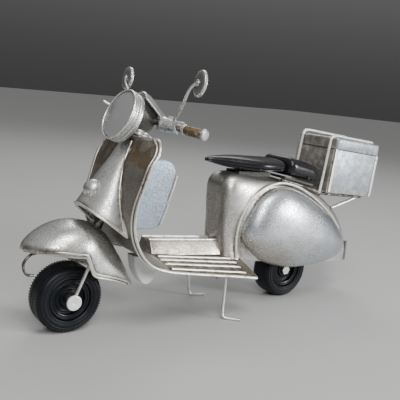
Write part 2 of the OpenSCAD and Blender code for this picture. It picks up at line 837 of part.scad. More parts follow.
module hub_caps() {
    cap_r = 2.2;
    color("white") place() for (side = [-1, 1])
        translate([front_x, side * 6.15, wheel_r]) bar_y(cap_r, -0.4, 0.4);
}

// ---------------------------------------------------------------- wheels
module tyre() {
    r = wheel_r;
    h = tyre_w / 2;
    half = [[6.2, h - 0.9], [6.4, h - 0.3], [7.0, h - 0.1], [8.2, h], [9.0, h - 0.3], [9.6, h - 1.0],
            [r - 0.1, h - 1.9], [r, h - 2.9]];
    other = [for (i = [len(half) - 1 : -1 : 0]) [half[i][0], -half[i][1]]];
    rotate([90, 0, 0]) rotate_extrude($fn = 96) polygon(concat(half, other));
}

module hub() {
    h = tyre_w / 2;
    bore = axle_d / 2 + clearance;
    half = [[bore, h - 1.4], [2.9, h - 1.4], [2.9, h - 2.0], [4.4, h - 2.0], [4.6, h - 0.9],
            [5.8, h - 0.7], [6.2, h - 1.0]];
    other = [for (i = [len(half) - 1 : -1 : 0]) [half[i][0], -half[i][1]]];
    rotate([90, 0, 0]) rotate_extrude($fn = 96) polygon(concat(half, other));
}

module front_tyre() color(BLACK) place() translate([front_x, 0, wheel_r]) tyre();
module front_hub() color(BLACK) place() translate([front_x, 0, wheel_r]) hub();
module rear_tyre() color(BLACK) place() translate([rear_x, 0, wheel_r]) tyre();
module rear_hub() color(BLACK) place() translate([rear_x, 0, wheel_r]) hub();

head_tube();
leg_shield();
shield_wire_left();
shield_wire_right();
horn_cover();
horn_cover_wires();
horn_dome();
glove_box();
glove_box_wire();
floor_pan();
floor_ribs();
tunnel();
tunnel_rails();
spine_foot();
body_shell();
arch_wires();
cowl_left();
cowl_right();
saddle_base();
saddle();
pillion_pan();
pillion();
rack_rails();
rack_struts();
box_case();
box_lid();
box_straps();
box_corner_strips();
tail_light();
number_plate();
swing_arm();
rear_axle();
stand_brackets();
steering_column();
lower_race();
neck_collar();
headset();
lamp_bowl();
lamp_rim();
lamp_bezel();
lamp_glass();
handlebar();
bar_collars();
grips();
grip_ferrules();
levers();
mirror_stems();
mirror_heads();
mirror_glasses();
fork();
mudguard();
mudguard_rim();
bumper_wire();
front_axle();
hub_caps();
front_tyre();
front_hub();
rear_tyre();
rear_hub();
stand();
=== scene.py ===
import json
import math

import bmesh
import bpy
import numpy as np
from mathutils import Matrix, Vector, noise
from mathutils.kdtree import KDTree


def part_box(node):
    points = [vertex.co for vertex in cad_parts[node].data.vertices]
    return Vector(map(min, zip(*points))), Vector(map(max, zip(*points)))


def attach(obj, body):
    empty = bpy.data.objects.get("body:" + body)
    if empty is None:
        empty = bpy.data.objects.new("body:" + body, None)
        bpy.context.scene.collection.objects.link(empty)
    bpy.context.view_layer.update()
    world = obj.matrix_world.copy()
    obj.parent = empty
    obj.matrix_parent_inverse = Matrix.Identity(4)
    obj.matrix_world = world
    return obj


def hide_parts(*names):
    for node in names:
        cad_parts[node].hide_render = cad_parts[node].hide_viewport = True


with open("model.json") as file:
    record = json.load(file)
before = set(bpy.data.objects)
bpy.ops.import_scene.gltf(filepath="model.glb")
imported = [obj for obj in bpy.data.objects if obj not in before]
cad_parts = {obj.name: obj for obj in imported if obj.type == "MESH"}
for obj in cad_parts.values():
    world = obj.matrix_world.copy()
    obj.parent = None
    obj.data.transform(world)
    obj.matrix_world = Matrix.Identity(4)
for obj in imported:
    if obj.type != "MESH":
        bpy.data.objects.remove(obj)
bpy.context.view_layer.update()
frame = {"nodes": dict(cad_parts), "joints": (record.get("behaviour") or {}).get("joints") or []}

# Handmade tin scooter ornament. Shapes are drawn in millimetres: x forward, y to
# the scooter's left, z up, from the ground midway between the wheels.
MM = 0.001

# Points closer than MERGE become one, and edges shorter than SLIVER are dropped, in metres.
MERGE, SLIVER = 2e-6, 1e-6

# Every dent comes from this seed; without one they would differ each time the script runs.
DENT_SEED = 7
noise.seed_set(DENT_SEED)


# ---------------------------------------------------------------- places
def middle(node):
    low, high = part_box(node)
    return (low + high) / 2 / MM


def shift(x, y, z):
    return Matrix.Translation((x, y, z))


def turn(degrees, axis):
    return Matrix.Rotation(math.radians(degrees), 4, axis)


front, rear = middle("front_axle"), middle("rear_tyre")
wheel_r = front.z
steering_axis = next(j["axis"] for j in frame["joints"] if j["name"] == "steering_turn")
rake = math.degrees(math.atan2(-steering_axis[0], steering_axis[2]))

GROUND = shift((front.x + rear.x) / 2, 0, 0)
RAKED = shift(front.x, 0, wheel_r) @ turn(-rake, "Y")
LAMP = RAKED @ shift(0, 0, 53.6) @ turn(90, "Y")
BOX = GROUND @ shift(-52.3, 0, 39.6) @ turn(-5.5, "Y")
BOX_L, BOX_W, BOX_H, LID_H = 23.7, 18.8, 20, 4
BODY_W = 8
RAIL_Y = 6.7
FORK_Y = 5.3
RIB_Y = (6.6, 9.2, 11.8, 14.6)
MIRROR_YAW = {1: -12, -1: -6}


def bar(side):
    """Half of the handlebar, with z running outward from the middle."""
    return RAKED @ shift(-1, 0, 56.4) @ turn(18 * side, "Z") @ turn(-88.5 * side, "X")


def mirror(side):
    """A mirror head, with z pointing out of its back."""
    place = RAKED @ shift(1.2, 19.95 * side, 68.2)
    return place @ turn(MIRROR_YAW[side], "Z") @ turn(82 + rake, "Y")


def wheel(centre):
    return shift(centre.x, 0, wheel_r) @ turn(90, "X")


# ---------------------------------------------------------------- outlines
SHIELD = [
    [25.0, 56.2, 23.0, 56.8, 12.6],
    [25.7, 55.0, 23.6, 55.4, 15.3],
    [26.7, 53.0, 24.7, 53.0, 16.5],
    [28.6, 49.8, 26.6, 49.7, 16.5],
    [30.2, 44.3, 28.3, 44.1, 16.2],
    [31.3, 39.5, 29.7, 39.4, 16.0],
    [31.0, 35.4, 30.2, 35.4, 16.0],
    [29.9, 31.4, 29.8, 31.2, 16.0],
    [28.6, 27.8, 28.4, 27.4, 16.0],
    [26.4, 24.8, 25.8, 23.7, 15.8],
    [22.8, 22.6, 22.3, 21.0, 15.6],
    [18.0, 21.4, 17.2, 19.2, 15.6],
]
FLOOR = [
    [18.0, 21.4, 17.2, 19.2, 15.6],
    [10.0, 20.5, 10.0, 17.9, 15.6],
    [0.0, 19.4, 0.0, 16.3, 15.7],
    [-10.0, 18.3, -10.0, 14.8, 15.9],
    [-17.0, 17.5, -16.5, 13.7, 16.0],
]
MUDGUARD = [
    [55.2, 25.2, 54.8, 24.9, 1.2, 0.9],
    [53.6, 26.9, 52.6, 25.1, 4.6, 0.9],
    [50.6, 29.2, 49.6, 25.0, 7.0, 0.9],
    [46.3, 31.2, 46.0, 24.6, 8.5, 0.9],
    [41.5, 32.1, 42.8, 24.1, 9.0, 0.9],
    [37.0, 31.6, 40.3, 23.6, 9.1, 0.9],
    [33.3, 29.6, 38.9, 20.6, 9.0, 0.9],
    [30.3, 26.4, 37.4, 18.1, 8.8, 0.9],
    [27.6, 22.4, 33.6, 16.7, 8.2, 0.9],
    [24.8, 17.6, 29.8, 15.4, 7.3, 0.9],
    [22.2, 12.8, 25.8, 13.6, 6.0, 0.9],
]
HORN_COVER = [
    [25.9, 55.4, 25.1, 55.2, 2.6, 1],
    [29.2, 51.2, 27.5, 50.6, 3.9, 1],
    [32.6, 46.8, 29.4, 45.0, 5.6, 1],
    [36.1, 42.0, 30.6, 39.0, 7.8, 1],
    [39.7, 37.1, 29.6, 29.4, 10.4, 1],
]
BODY = [
    [-10.2, 17.6, -15.4, 17.3, 6.4, 0.55],
    [-9.4, 24.6, -16.0, 18.0, 6.0, 0.5],
    [-9.0, 31.5, -17.0, 18.0, 6.1, 0.48],
    [-8.8, 39.0, -18.5, 17.6, 6.8, 0.46],
    [-9.2, 43.4, -21.0, 17.2, 7.4, 0.44],
    [-12.6, 45.4, -24.0, 16.8, 7.8, 0.42],
    [-20.0, 44.9, -29.0, 16.2, 8.0, 0.42],
    [-30.0, 43.7, -35.0, 15.5, 8.0, 0.42],
    [-40.0, 42.0, -42.0, 14.7, 8.0, 0.42],
    [-49.0, 39.3, -49.0, 14.0, 8.0, 0.42],
    [-57.0, 35.3, -55.5, 13.3, 7.7, 0.45],
    [-63.5, 30.4, -61.0, 12.8, 7.1, 0.5],
    [-68.3, 24.6, -65.5, 12.4, 6.2, 0.55],
    [-71.2, 18.4, -69.0, 12.0, 5.0, 0.6],
    [-72.4, 12.4, -71.6, 11.8, 3.8, 0.6],
]
COWL = [
    [-15.6, 25.0], [-17.6, 33.5], [-22.6, 39.4], [-30.2, 41.8], [-40.0, 39.4],
    [-51.0, 33.6], [-61.0, 26.2], [-66.6, 19.6], [-62.0, 15.0], [-50.0, 13.4],
    [-36.0, 13.4], [-23.5, 17.2],
]
COWL_CENTRE = np.array([-36.5, 26.5])
COWL_BULGE = 7
COWL_GAP = 0.05
ARCH = [
    [-14.6, 6.75, 18.4], [-13.8, 6.95, 25.0], [-14.2, 7.55, 31.2], [-17.2, 8.0, 37.4],
    [-22.0, 8.0, 41.0], [-27.6, 7.8, 42.9], [-33.0, 7.7, 43.0], [-40.0, 7.8, 41.2],
    [-48.0, 7.8, 37.2], [-56.8, 7.6, 31.4], [-63.4, 7.0, 25.6],
]


# ---------------------------------------------------------------- curves and sheets
def smooth(rows, steps=4, closed=False):
    """Evenly flowing rows through the given ones, with steps between neighbours."""
    rows = np.array(rows, float)
    count = len(rows)
    flowing = []
    for i in range(count if closed else count - 1):
        near = [(i + k) % count if closed else min(max(i + k, 0), count - 1) for k in (-1, 0, 1, 2)]
        a, b, c, d = rows[near]
        for t in np.arange(steps) / steps:
            flowing.append((2 * b + (c - a) * t + (2 * a - 5 * b + 4 * c - d) * t * t
                            + (3 * b - a - 3 * c + d) * t ** 3) / 2)
    if not closed:
        flowing.append(rows[-1])
    return np.array(flowing)


def eased(outline, radius):
    """The closed outline with its corners rounded off."""
    corners = [Vector(p) for p in outline]
    rounded = []
    for i, p in enumerate(corners):
        back, ahead = corners[i - 1] - p, corners[(i + 1) % len(corners)] - p
        reach = min(radius, back.length * 0.45, ahead.length * 0.45)
        start, end = p + back.normalized() * reach, p + ahead.normalized() * reach
        for t in (0, 0.3, 0.7, 1):
            rounded.append(start * (1 - t) ** 2 + p * 2 * t * (1 - t) + end * t * t)
    return rounded


def side_y(x):
    """Half width of the rear body's side, narrower at its nose and at its tail."""
    if x > -22:
        return BODY_W - ((x + 22) / 6.4) ** 2
    if x < -55:
        return BODY_W - 1.9 * (-55 - x) / 12
    return BODY_W


def floor_height(x, y):
    along = (x + 10) / 20
    crown, edge = 18.3 + 2.2 * along, 14.8 + 3.1 * along
    return crown + (edge - crown) * (y / 16) ** 2


def edge_of(stations, side, out=0.0, lift=0.0):
    """The rim of a canopy or panel as a path."""
    return [[s[2], side * (s[4] + out), s[3] + lift] for s in stations]


def canopy(stations, columns):
    """Grid of an arched sheet; a station's power makes its arch rounder or squarer."""
    angle = np.radians(np.linspace(-90, 90, columns + 1))
    grid = []
    for crown_x, crown_z, rim_x, rim_z, half, power in stations:
        reach = np.clip(np.cos(angle), 0, 1) ** power
        y = half * np.sign(angle) * np.abs(np.sin(angle)) ** power
        grid.append(np.stack([rim_x + (crown_x - rim_x) * reach, y,
                              rim_z + (crown_z - rim_z) * reach], 1))
    return np.array(grid)


def panel(stations, columns):
    """Grid of a sheet that is bent gently across its width."""
    u = np.linspace(-1, 1, columns + 1)
    return np.array([
        np.stack([mx + (ex - mx) * u * u, u * half, mz + (ez - mz) * u * u], 1)
        for mx, mz, ex, ez, half in stations])


def normals(grid):
    along, across = np.gradient(grid, axis=0), np.gradient(grid, axis=1)
    out = np.cross(along, across)
    return out / np.maximum(np.linalg.norm(out, axis=2, keepdims=True), 1e-9)


def lattice(rows, columns, start=0, loop=False, wrap=False):
    """Quads between rows of points; wrap joins the last column to the first."""
    quads = []
    for i in range(rows if loop else rows - 1):
        for j in range(columns if wrap else columns - 1):
            a, b = i * columns, (i + 1) % rows * columns
            k = (j + 1) % columns
            quads.append([start + a + j, start + a + k, start + b + k, start + b + j])
    return quads


def sheet(grid, thick=0.5):
    """Closed tin sheet under a grid of points, with a rounded cut edge."""
    rows, columns = grid.shape[:2]
    under = grid - thick * normals(grid)
    count = rows * columns
    rim = ([j for j in range(columns - 1)]
           + [i * columns + columns - 1 for i in range(rows - 1)]
           + [(rows - 1) * columns + j for j in range(columns - 1, 0, -1)]
           + [i * columns for i in range(rows - 1, 0, -1)])
    top, low = grid.reshape(-1, 3), under.reshape(-1, 3)
    centre = top.mean(0)
    edge = []
    for k, i in enumerate(rim):
        along = top[rim[(k + 1) % len(rim)]] - top[rim[k - 1]]
        through = top[i] - low[i]
        out = np.cross(along, through)
        out = out / max(np.linalg.norm(out), 1e-9)
        if out @ (top[i] - centre) < 0:
            out = -out
        edge.append((top[i] + low[i]) / 2 + out * thick * 0.4)
    faces = lattice(rows, columns) + [f[::-1] for f in lattice(rows, columns, count)]
    for k, i in enumerate(rim):
        n = (k + 1) % len(rim)
        faces.append([i, 2 * count + k, 2 * count + n, rim[n]])
        faces.append([2 * count + k, count + i, count + rim[n], 2 * count + n])
    return np.concatenate([top, low, np.array(edge)]), faces


def cowl_dome(side, thick=0.5, rings=26):
    """Teardrop side cowl, open towards the body."""
    outline = smooth(COWL, 8, closed=True)
    count = len(outline)
    points, faces = [], []
    for inset in (0, thick):
        for ring in range(rings):
            a = math.pi / 2 * ring / rings
            for p in outline:
                away = p - COWL_CENTRE
                q = COWL_CENTRE + away * math.cos(a) * (1 - inset / np.linalg.norm(away))
                out = (COWL_BULGE - inset) * math.sin(a) ** 0.85
                points.append([q[0], side * (side_y(q[0]) + COWL_GAP + out), q[1]])
    inner = rings * count
    faces += lattice(rings, count, wrap=True) + lattice(rings, count, inner, wrap=True)
    faces += [[j, (j + 1) % count, inner + (j + 1) % count, inner + j] for j in range(count)]
    for start, out in ((0, COWL_BULGE), (inner, COWL_BULGE - thick)):
        last = start + (rings - 1) * count
        points.append([COWL_CENTRE[0], side * (BODY_W + COWL_GAP + out), COWL_CENTRE[1]])
        faces += [[last + j, last + (j + 1) % count, len(points) - 1] for j in range(count)]
    return points, faces


def lathe(profile, segments=72):
    """Turned part about z from a closed outline of [radius, z] points."""
    points = [[r * math.cos(a), r * math.sin(a), z]
              for a in np.linspace(0, 2 * math.pi, segments, endpoint=False)
              for r, z in profile]
    return points, lattice(segments, len(profile), loop=True, wrap=True)


def turned(outline, radius=0.15, segments=72):
    """Turned part with its corners eased."""
    return lathe(eased(outline, radius), segments)


def capped(count):
    """Faces of a solid between two outlines that have count points each."""
    return (lattice(2, count, wrap=True)
            + [list(range(count)), list(range(2 * count - 1, count - 1, -1))])


def prism(outline, y0, y1):
    """Solid between two copies of an outline of [x, z] points."""
    return [[p[0], y, p[1]] for y in (y0, y1) for p in outline], capped(len(outline))


def block(x0, x1, y0, y1, z0, z1):
    return prism([[x0, z0], [x1, z0], [x1, z1], [x0, z1]], y0, y1)


def loft(sections):
    """Closed skin over rings of points, with a point at the middle of both ends."""
    sections = np.array(sections, float)
    rows, count = sections.shape[:2]
    points = list(sections.reshape(-1, 3)) + [sections[0].mean(0), sections[-1].mean(0)]
    tip, last = rows * count, (rows - 1) * count
    return points, (lattice(rows, count, wrap=True)
                    + [[j, (j + 1) % count, tip] for j in range(count)]
                    + [[last + j, last + (j + 1) % count, tip + 1] for j in range(count)])


def rounded_box(rows, length, width, corner=1.1):
    """Box skin from rows of [inset, z], with rounded upright edges."""
    rings = []
    for inset, z in rows:
        r = max(corner - inset, 0.25)
        ring = []
        for quarter in range(4):
            a0 = quarter * 90
            cx = (length / 2 - inset - r) * (1 if quarter in (0, 3) else -1)
            cy = (width / 2 - inset - r) * (1 if quarter in (0, 1) else -1)
            for a in np.radians(np.linspace(a0, a0 + 90, 7)):
                ring.append([cx + r * math.cos(a), cy + r * math.sin(a), z])
        rings.append(ring)
    return loft(rings)


def pod(sections, around=48, power=0.8):
    """Upholstered form from sections of [x, half width, middle z, up, down]."""
    rings = []
    for x, half, z, up, down in smooth(sections, 5):
        ring = []
        for a in np.linspace(0, 2 * math.pi, around, endpoint=False):
            c, s = math.cos(a), math.sin(a)
            y = half * math.copysign(abs(c) ** power, c)
            h = (up if s > 0 else down) * abs(s) ** (0.95 if s > 0 else 0.6)
            ring.append([x, y, z + math.copysign(h, s)])
        rings.append(ring)
    return loft(rings)


# ---------------------------------------------------------------- finishes
class Value:
    """A socket whose arithmetic adds Math nodes."""

    def __init__(self, finish, socket):
        self.finish, self.socket = finish, socket

    def _math(self, operation, *terms):
        return self.finish.node("ShaderNodeMath", {"operation": operation}, dict(enumerate(terms)))

    def __add__(self, other):
        return self._math("ADD", self, other)

    def __sub__(self, other):
        return self._math("SUBTRACT", self, other)

    def __rsub__(self, other):
        return self._math("SUBTRACT", other, self)

    def __mul__(self, other):
        return self._math("MULTIPLY", self, other)

    __radd__, __rmul__ = __add__, __mul__

    def clipped(self):
        return self.finish.node("ShaderNodeClamp", {}, {0: self})


class Finish:
    """A material's node tree."""

    def __init__(self, name):
        self.material = bpy.data.materials.new(name)
        self.material.use_nodes = True
        self.tree = self.material.node_tree
        self.tree.nodes.clear()
        self.place = self.node("ShaderNodeTexCoord", output="Object")

    def node(self, kind, settings=None, sockets=None, output=0):
        """A node of that kind: its settings first, then its sockets' values or links."""
        made = self.tree.nodes.new(kind)
        for name, value in (settings or {}).items():
            if name == "stops":
                ramp = made.color_ramp
                while len(ramp.elements) < len(value):
                    ramp.elements.new(0.5)
                for element, (position, colour) in zip(ramp.elements, value):
                    element.position, element.color = position, (*colour, 1)
            else:
                setattr(made, name, value)
        for name, value in (sockets or {}).items():
            if isinstance(value, Value):
                self.tree.links.new(value.socket, made.inputs[name])
            else:
                made.inputs[name].default_value = value
        return Value(self, made.outputs[output] if made.outputs else None)

    def grain(self, size, detail=3.0, rough=0.55, seed=0.0):
        """Even noise from 0 to 1 with blotches of about that size in millimetres."""
        return self.node("ShaderNodeTexNoise", {"noise_dimensions": "4D"},
                         {"Vector": self.place, "W": seed, "Scale": 1 / (size * MM),
                          "Detail": detail, "Roughness": rough}, "Fac")

    def step(self, value, low, high):
        """0 below low, 1 above high and eased in between."""
        return self.node("ShaderNodeMapRange", {"interpolation_type": "SMOOTHSTEP"},
                         {"Value": value, "From Min": low, "From Max": high})

    def along(self, axis, low, high):
        """0 to 1 between two places along an axis, in millimetres."""
        place = self.node("ShaderNodeSeparateXYZ", {}, {"Vector": self.place}, axis)
        return self.step(place, low * MM, high * MM)

    def facing(self, axis, low, high):
        """0 to 1 as the surface turns towards an axis."""
        normal = self.node("ShaderNodeTexCoord", output="Normal")
        return self.step(self.node("ShaderNodeSeparateXYZ", {}, {"Vector": normal}, axis), low, high)

    def mark(self, name):
        """A value that was stored on the piece's own points."""
        return self.node("ShaderNodeAttribute", {"attribute_name": name}, output="Fac")

    def mix(self, amount, first, second):
        """Colour between two others."""
        def colour(c):
            return c if isinstance(c, Value) else (*c, 1)
        return self.node("ShaderNodeMix", {"data_type": "RGBA"},
                         {0: amount, 6: colour(first), 7: colour(second)}, 2)

    def bumps(self, height, depth, strength=1.0):
        return self.node("ShaderNodeBump", {},
                         {"Height": height, "Distance": depth * MM, "Strength": strength})

    def done(self, **sockets):
        """Closes the tree on a Principled shader with those sockets."""
        named = {name.replace("_", " "): value for name, value in sockets.items()}
        shader = self.node("ShaderNodeBsdfPrincipled", {}, named)
        self.node("ShaderNodeOutputMaterial", {}, {"Surface": shader})
        return self.material


def golden_nose(f, colour):
    """Golden brown low on the front of a cowl, blue-grey towards its tail."""
    low_front = f.along("X", -32, -12) * (1 - f.along("Z", 14, 31))
    colour = f.mix(low_front * 0.75, colour, (0.33, 0.26, 0.17))
    return f.mix((1 - f.along("X", -50, -24)) * 0.55, colour, (0.4, 0.44, 0.48))


def shaded_nose(f, colour):
    """Painted shade: the front wall, where it faces forward, darkened to brown."""
    return f.mix(f.facing("X", 0.45, 0.95) * 0.6, colour, (0.2, 0.175, 0.14))


def dark_front(f, colour):
    """Dark brown varnish on the faces that point forward, beige low on the sides."""
    colour = f.mix((1 - f.along("Z", 38, 46)) * 0.35, colour, (0.36, 0.33, 0.27))
    return f.mix(f.facing("X", 0.5, 0.85) * 0.92, colour, (0.12, 0.098, 0.068))


def browned_top(f, colour):
    """Brown scorched patches high on the leg shield."""
    patch = f.step(f.grain(4.5, 3, 0.55, 77), 0.46, 0.56) * f.along("Z", 42, 50)
    return f.mix(patch * 0.75, colour, (0.16, 0.1, 0.045))


def painted_tin(name, light, shade, brown, rough=0.27, stain=0.5, edge=0.7, metal=0.95,
                grit=0.36, seed=0.0, cast=None):
    """Silver paint over tin: fine speckle, brown stain and painted shade along the seams, rubbed
    edges.
    """
    f = Finish(name)
    speck = f.step(f.grain(grit, 1.5, 0.6, seed), 0.38, 0.62)
    cloud = f.step(f.grain(5, 4, 0.6, seed + 3), 0.3, 0.72)
    smear = f.step(f.grain(2.6, 5, 0.65, seed + 7), 0.4, 0.66)
    # Painted shade: the seam mark darkens the paint next to wires and cowl edges, as brown stain and
    # as the shade between parts.
    seam = (f.mark("grime") * (0.6 + 0.4 * smear) * 1.35).clipped()
    dirt_and_shade = (seam + cloud * smear * stain * 0.35).clipped()
    rubbed = (f.mark("wear") * edge * (0.45 + smear * 0.8)).clipped()
    colour = f.mix(speck * (0.55 + 0.4 * cloud), light, shade)
    if cast:
        colour = cast(f, colour)
    colour = f.mix(dirt_and_shade, colour, brown)
    colour = f.mix(rubbed, colour, (0.93, 0.92, 0.88))
    height = speck * 0.5 + f.grain(1.8, 2, 0.5, seed + 11)
    return f.done(Base_Color=colour, Metallic=metal,
                  Roughness=(rough + speck * 0.2 + dirt_and_shade * 0.2 - rubbed * 0.1).clipped(),
                  Normal=f.bumps(height, 0.035, 0.7))


def drawn_wire(name, light, dark, share, rough=0.32, metal=0.9, seed=0.0):
    """Rubbed wire with soot and solder left on part of it."""
    f = Finish(name)
    patch = f.step(f.grain(1.8, 4, 0.65, seed), 0.5 - share * 0.3, 0.78 - share * 0.3)
    pits = f.step(f.grain(0.35, 2, 0.6, seed + 2), 0.5, 0.75)
    sooty = (1 - patch + pits * 0.4).clipped()
    colour = f.mix(sooty, light, dark)
    return f.done(Base_Color=colour, Metallic=metal,
                  Roughness=(rough + sooty * 0.2).clipped(),
                  Normal=f.bumps(f.grain(0.6, 3, 0.6, seed + 5), 0.06, 0.7))


def gloss_black(name, colour, dusty, rough):
    """Glossy black moulding with faint dust and handling marks."""
    f = Finish(name)
    dust = f.step(f.grain(1.1, 5, 0.7, 2), 0.5, 0.8) * f.step(f.grain(7, 3, 0.5, 4), 0.45, 0.7)
    rubbed = f.mark("wear") * 0.2
    return f.done(Base_Color=f.mix((dust * 0.5 + rubbed).clipped(), colour, dusty),
                  Roughness=(rough + dust * 0.25 + f.grain(3, 3, 0.5, 6) * 0.06).clipped(),
                  Specular_IOR_Level=0.36, Normal=f.bumps(f.grain(1.2, 3, 0.5, 8), 0.02, 0.4))


def moulded_rubber(name, rough):
    """Black moulded rubber with a satin skin and dust in its grooves."""
    f = Finish(name)
    dust = (f.mark("hollow") * 0.8 + f.step(f.grain(2.5, 5, 0.7), 0.55, 0.85) * 0.35).clipped()
    colour = f.mix(dust * 0.4, (0.004, 0.0055, 0.008), (0.022, 0.022, 0.022))
    colour = f.mix((f.mark("wear") * 0.2).clipped(), colour, (0.03, 0.032, 0.036))
    return f.done(Base_Color=colour, Specular_IOR_Level=0.26,
                  Roughness=(rough + dust * 0.25 + f.grain(0.5, 2, 0.5, 3) * 0.08).clipped(),
                  Normal=f.bumps(f.grain(0.3, 2, 0.6, 5), 0.025, 0.6))


def worn_copper(name):
    """Copper-brown grip paint rubbed through to bright metal."""
    f = Finish(name)
    worn = f.step(f.grain(1.4, 5, 0.7, 1), 0.52, 0.66)
    dark = f.step(f.grain(0.8, 4, 0.65, 6), 0.55, 0.75)
    colour = f.mix(worn, (0.15, 0.105, 0.06), (0.42, 0.36, 0.28))
    colour = f.mix(dark, colour, (0.05, 0.03, 0.02))
    return f.done(Base_Color=colour, Metallic=0.7,
                  Roughness=(0.42 - worn * 0.12 + dark * 0.2).clipped(),
                  Normal=f.bumps(f.grain(0.5, 3, 0.6, 4), 0.06, 0.8))


def lamp_grey(name):
    """Smooth grey disc with a faint brown smudge and a few light scuffs."""
    f = Finish(name)
    smudge = f.step(f.grain(2.2, 5, 0.65, 21), 0.42, 0.6) * (1 - f.along("Y", -6.5, -2))
    scuff = f.step(f.grain(0.5, 4, 0.7, 12), 0.66, 0.8)
    colour = f.mix(smudge * 0.7, (0.46, 0.47, 0.47), (0.2, 0.15, 0.1))
    colour = f.mix((scuff * 0.35 + f.mark("wear") * 0.6).clipped(), colour, (0.7, 0.7, 0.68))
    return f.done(Base_Color=colour, Metallic=0.55,
                  Roughness=(0.34 + smudge * 0.12 + f.grain(0.4, 2, 0.5, 3) * 0.08).clipped(),
                  Normal=f.bumps(f.grain(1.6, 3, 0.5, 5), 0.03, 0.5))


def mirror_disc(name):
    """Small polished disc, a little hazed."""
    f = Finish(name)
    haze = f.step(f.grain(0.9, 4, 0.6, 2), 0.45, 0.8)
    return f.done(Base_Color=f.mix(haze * 0.3, (0.82, 0.83, 0.84), (0.55, 0.55, 0.53)),
                  Metallic=0.95, Roughness=(0.1 + haze * 0.2).clipped(),
                  Normal=f.bumps(f.grain(2, 2, 0.5, 3), 0.02, 0.5))


def pale_paint(name, light, shade, brown, rough=0.45, metal=0.35, seed=0.0):
    """Thick pale paint or solder with light flecks of stain, and painted shade next to the seams."""
    f = Finish(name)
    cloud = f.step(f.grain(2.2, 4, 0.6, seed), 0.35, 0.7)
    fleck = f.step(f.grain(0.45, 3, 0.65, seed + 4), 0.6, 0.78)
    # Painted shade: near seams the paint darkens towards brown, together with the flecks of stain.
    dirt_and_shade = (fleck * 0.6 + f.mark("grime") * 0.5).clipped()
    colour = f.mix(cloud, light, shade)
    colour = f.mix(dirt_and_shade, colour, brown)
    return f.done(Base_Color=colour, Metallic=metal,
                  Roughness=(rough + dirt_and_shade * 0.2 - cloud * 0.06).clipped(),
                  Normal=f.bumps(cloud + f.grain(0.5, 3, 0.6, seed + 8) * 0.7, 0.08, 0.7))


BROWN = (0.1, 0.075, 0.05)
silver = painted_tin("silver_paint", (0.82, 0.84, 0.84), (0.3, 0.31, 0.31), BROWN, seed=1)
# The body's forward-facing wall gets painted shade from its cast.
body_silver = painted_tin("body_silver", (0.84, 0.83, 0.8), (0.32, 0.31, 0.29), BROWN, seed=5,
                          cast=shaded_nose)
cowl_silver = painted_tin("cowl_silver", (0.78, 0.81, 0.84), (0.28, 0.3, 0.33),
                          (0.13, 0.095, 0.06), rough=0.23, stain=0.35, seed=14,
                          cast=golden_nose)
hammered = painted_tin("mudguard_silver", (0.88, 0.88, 0.86), (0.28, 0.275, 0.26), BROWN,
                       rough=0.24, stain=0.4, grit=0.42, seed=23)
bright_cover = painted_tin("cover_silver", (0.88, 0.88, 0.86), (0.38, 0.38, 0.37), BROWN,
                           rough=0.26, stain=0.3, seed=31)
dull_tin = painted_tin("shield_grey", (0.27, 0.26, 0.235), (0.17, 0.16, 0.14),
                       (0.1, 0.07, 0.04), rough=0.4, stain=1.0, metal=0.8, seed=42,
                       cast=browned_top)
floor_tin = painted_tin("floor_silver", (0.54, 0.5, 0.42), (0.22, 0.19, 0.15),
                        (0.07, 0.05, 0.03), rough=0.38, stain=1.3, seed=55)
pan_brown = painted_tin("pan_brown", (0.28, 0.25, 0.2), (0.15, 0.13, 0.1),
                        (0.06, 0.045, 0.03), rough=0.42, stain=1.3, seed=57)
blue_tin = painted_tin("blue_grey_paint", (0.38, 0.49, 0.6), (0.16, 0.21, 0.27),
                       (0.2, 0.17, 0.12), rough=0.4, stain=0.2, edge=0.6, metal=0.7,
                       grit=0.34, seed=63)
box_paint = painted_tin("box_paint", (0.22, 0.28, 0.35), (0.08, 0.105, 0.135),
                        (0.1, 0.08, 0.055), rough=0.4, stain=0.2, edge=0.75, metal=0.7,
                        grit=0.34, seed=66, cast=dark_front)
mirror_back = painted_tin("mirror_back", (0.34, 0.34, 0.32), (0.2, 0.2, 0.19),
                          (0.12, 0.09, 0.06), rough=0.4, stain=0.6, edge=0.5, seed=69)
# Dark paint; it also serves as painted shade on the headset core under the hood and on the frame parts
# under the seats.
dark_paint_and_shade = painted_tin("dark_paint_and_shade", (0.075, 0.07, 0.06), (0.04, 0.036, 0.03),
                         (0.03, 0.02, 0.015), rough=0.45, stain=0.8, edge=0.5, metal=0.3,
                         seed=71)
bright_wire = drawn_wire("bright_wire", (0.86, 0.84, 0.78), (0.13, 0.1, 0.075), 0.95, seed=3)
dark_wire = drawn_wire("dark_wire", (0.42, 0.4, 0.37), (0.07, 0.06, 0.05), 0.35, seed=8)
grey_wire = drawn_wire("grey_wire", (0.68, 0.68, 0.65), (0.22, 0.19, 0.16), 0.8, seed=9)
strap_white = pale_paint("strap_white", (0.84, 0.83, 0.78), (0.66, 0.64, 0.58),
                         (0.2, 0.15, 0.1), seed=5)
arch_cream = pale_paint("arch_cream", (0.88, 0.85, 0.77), (0.7, 0.66, 0.58),
                        (0.16, 0.12, 0.08), rough=0.34, metal=0.5, seed=12)
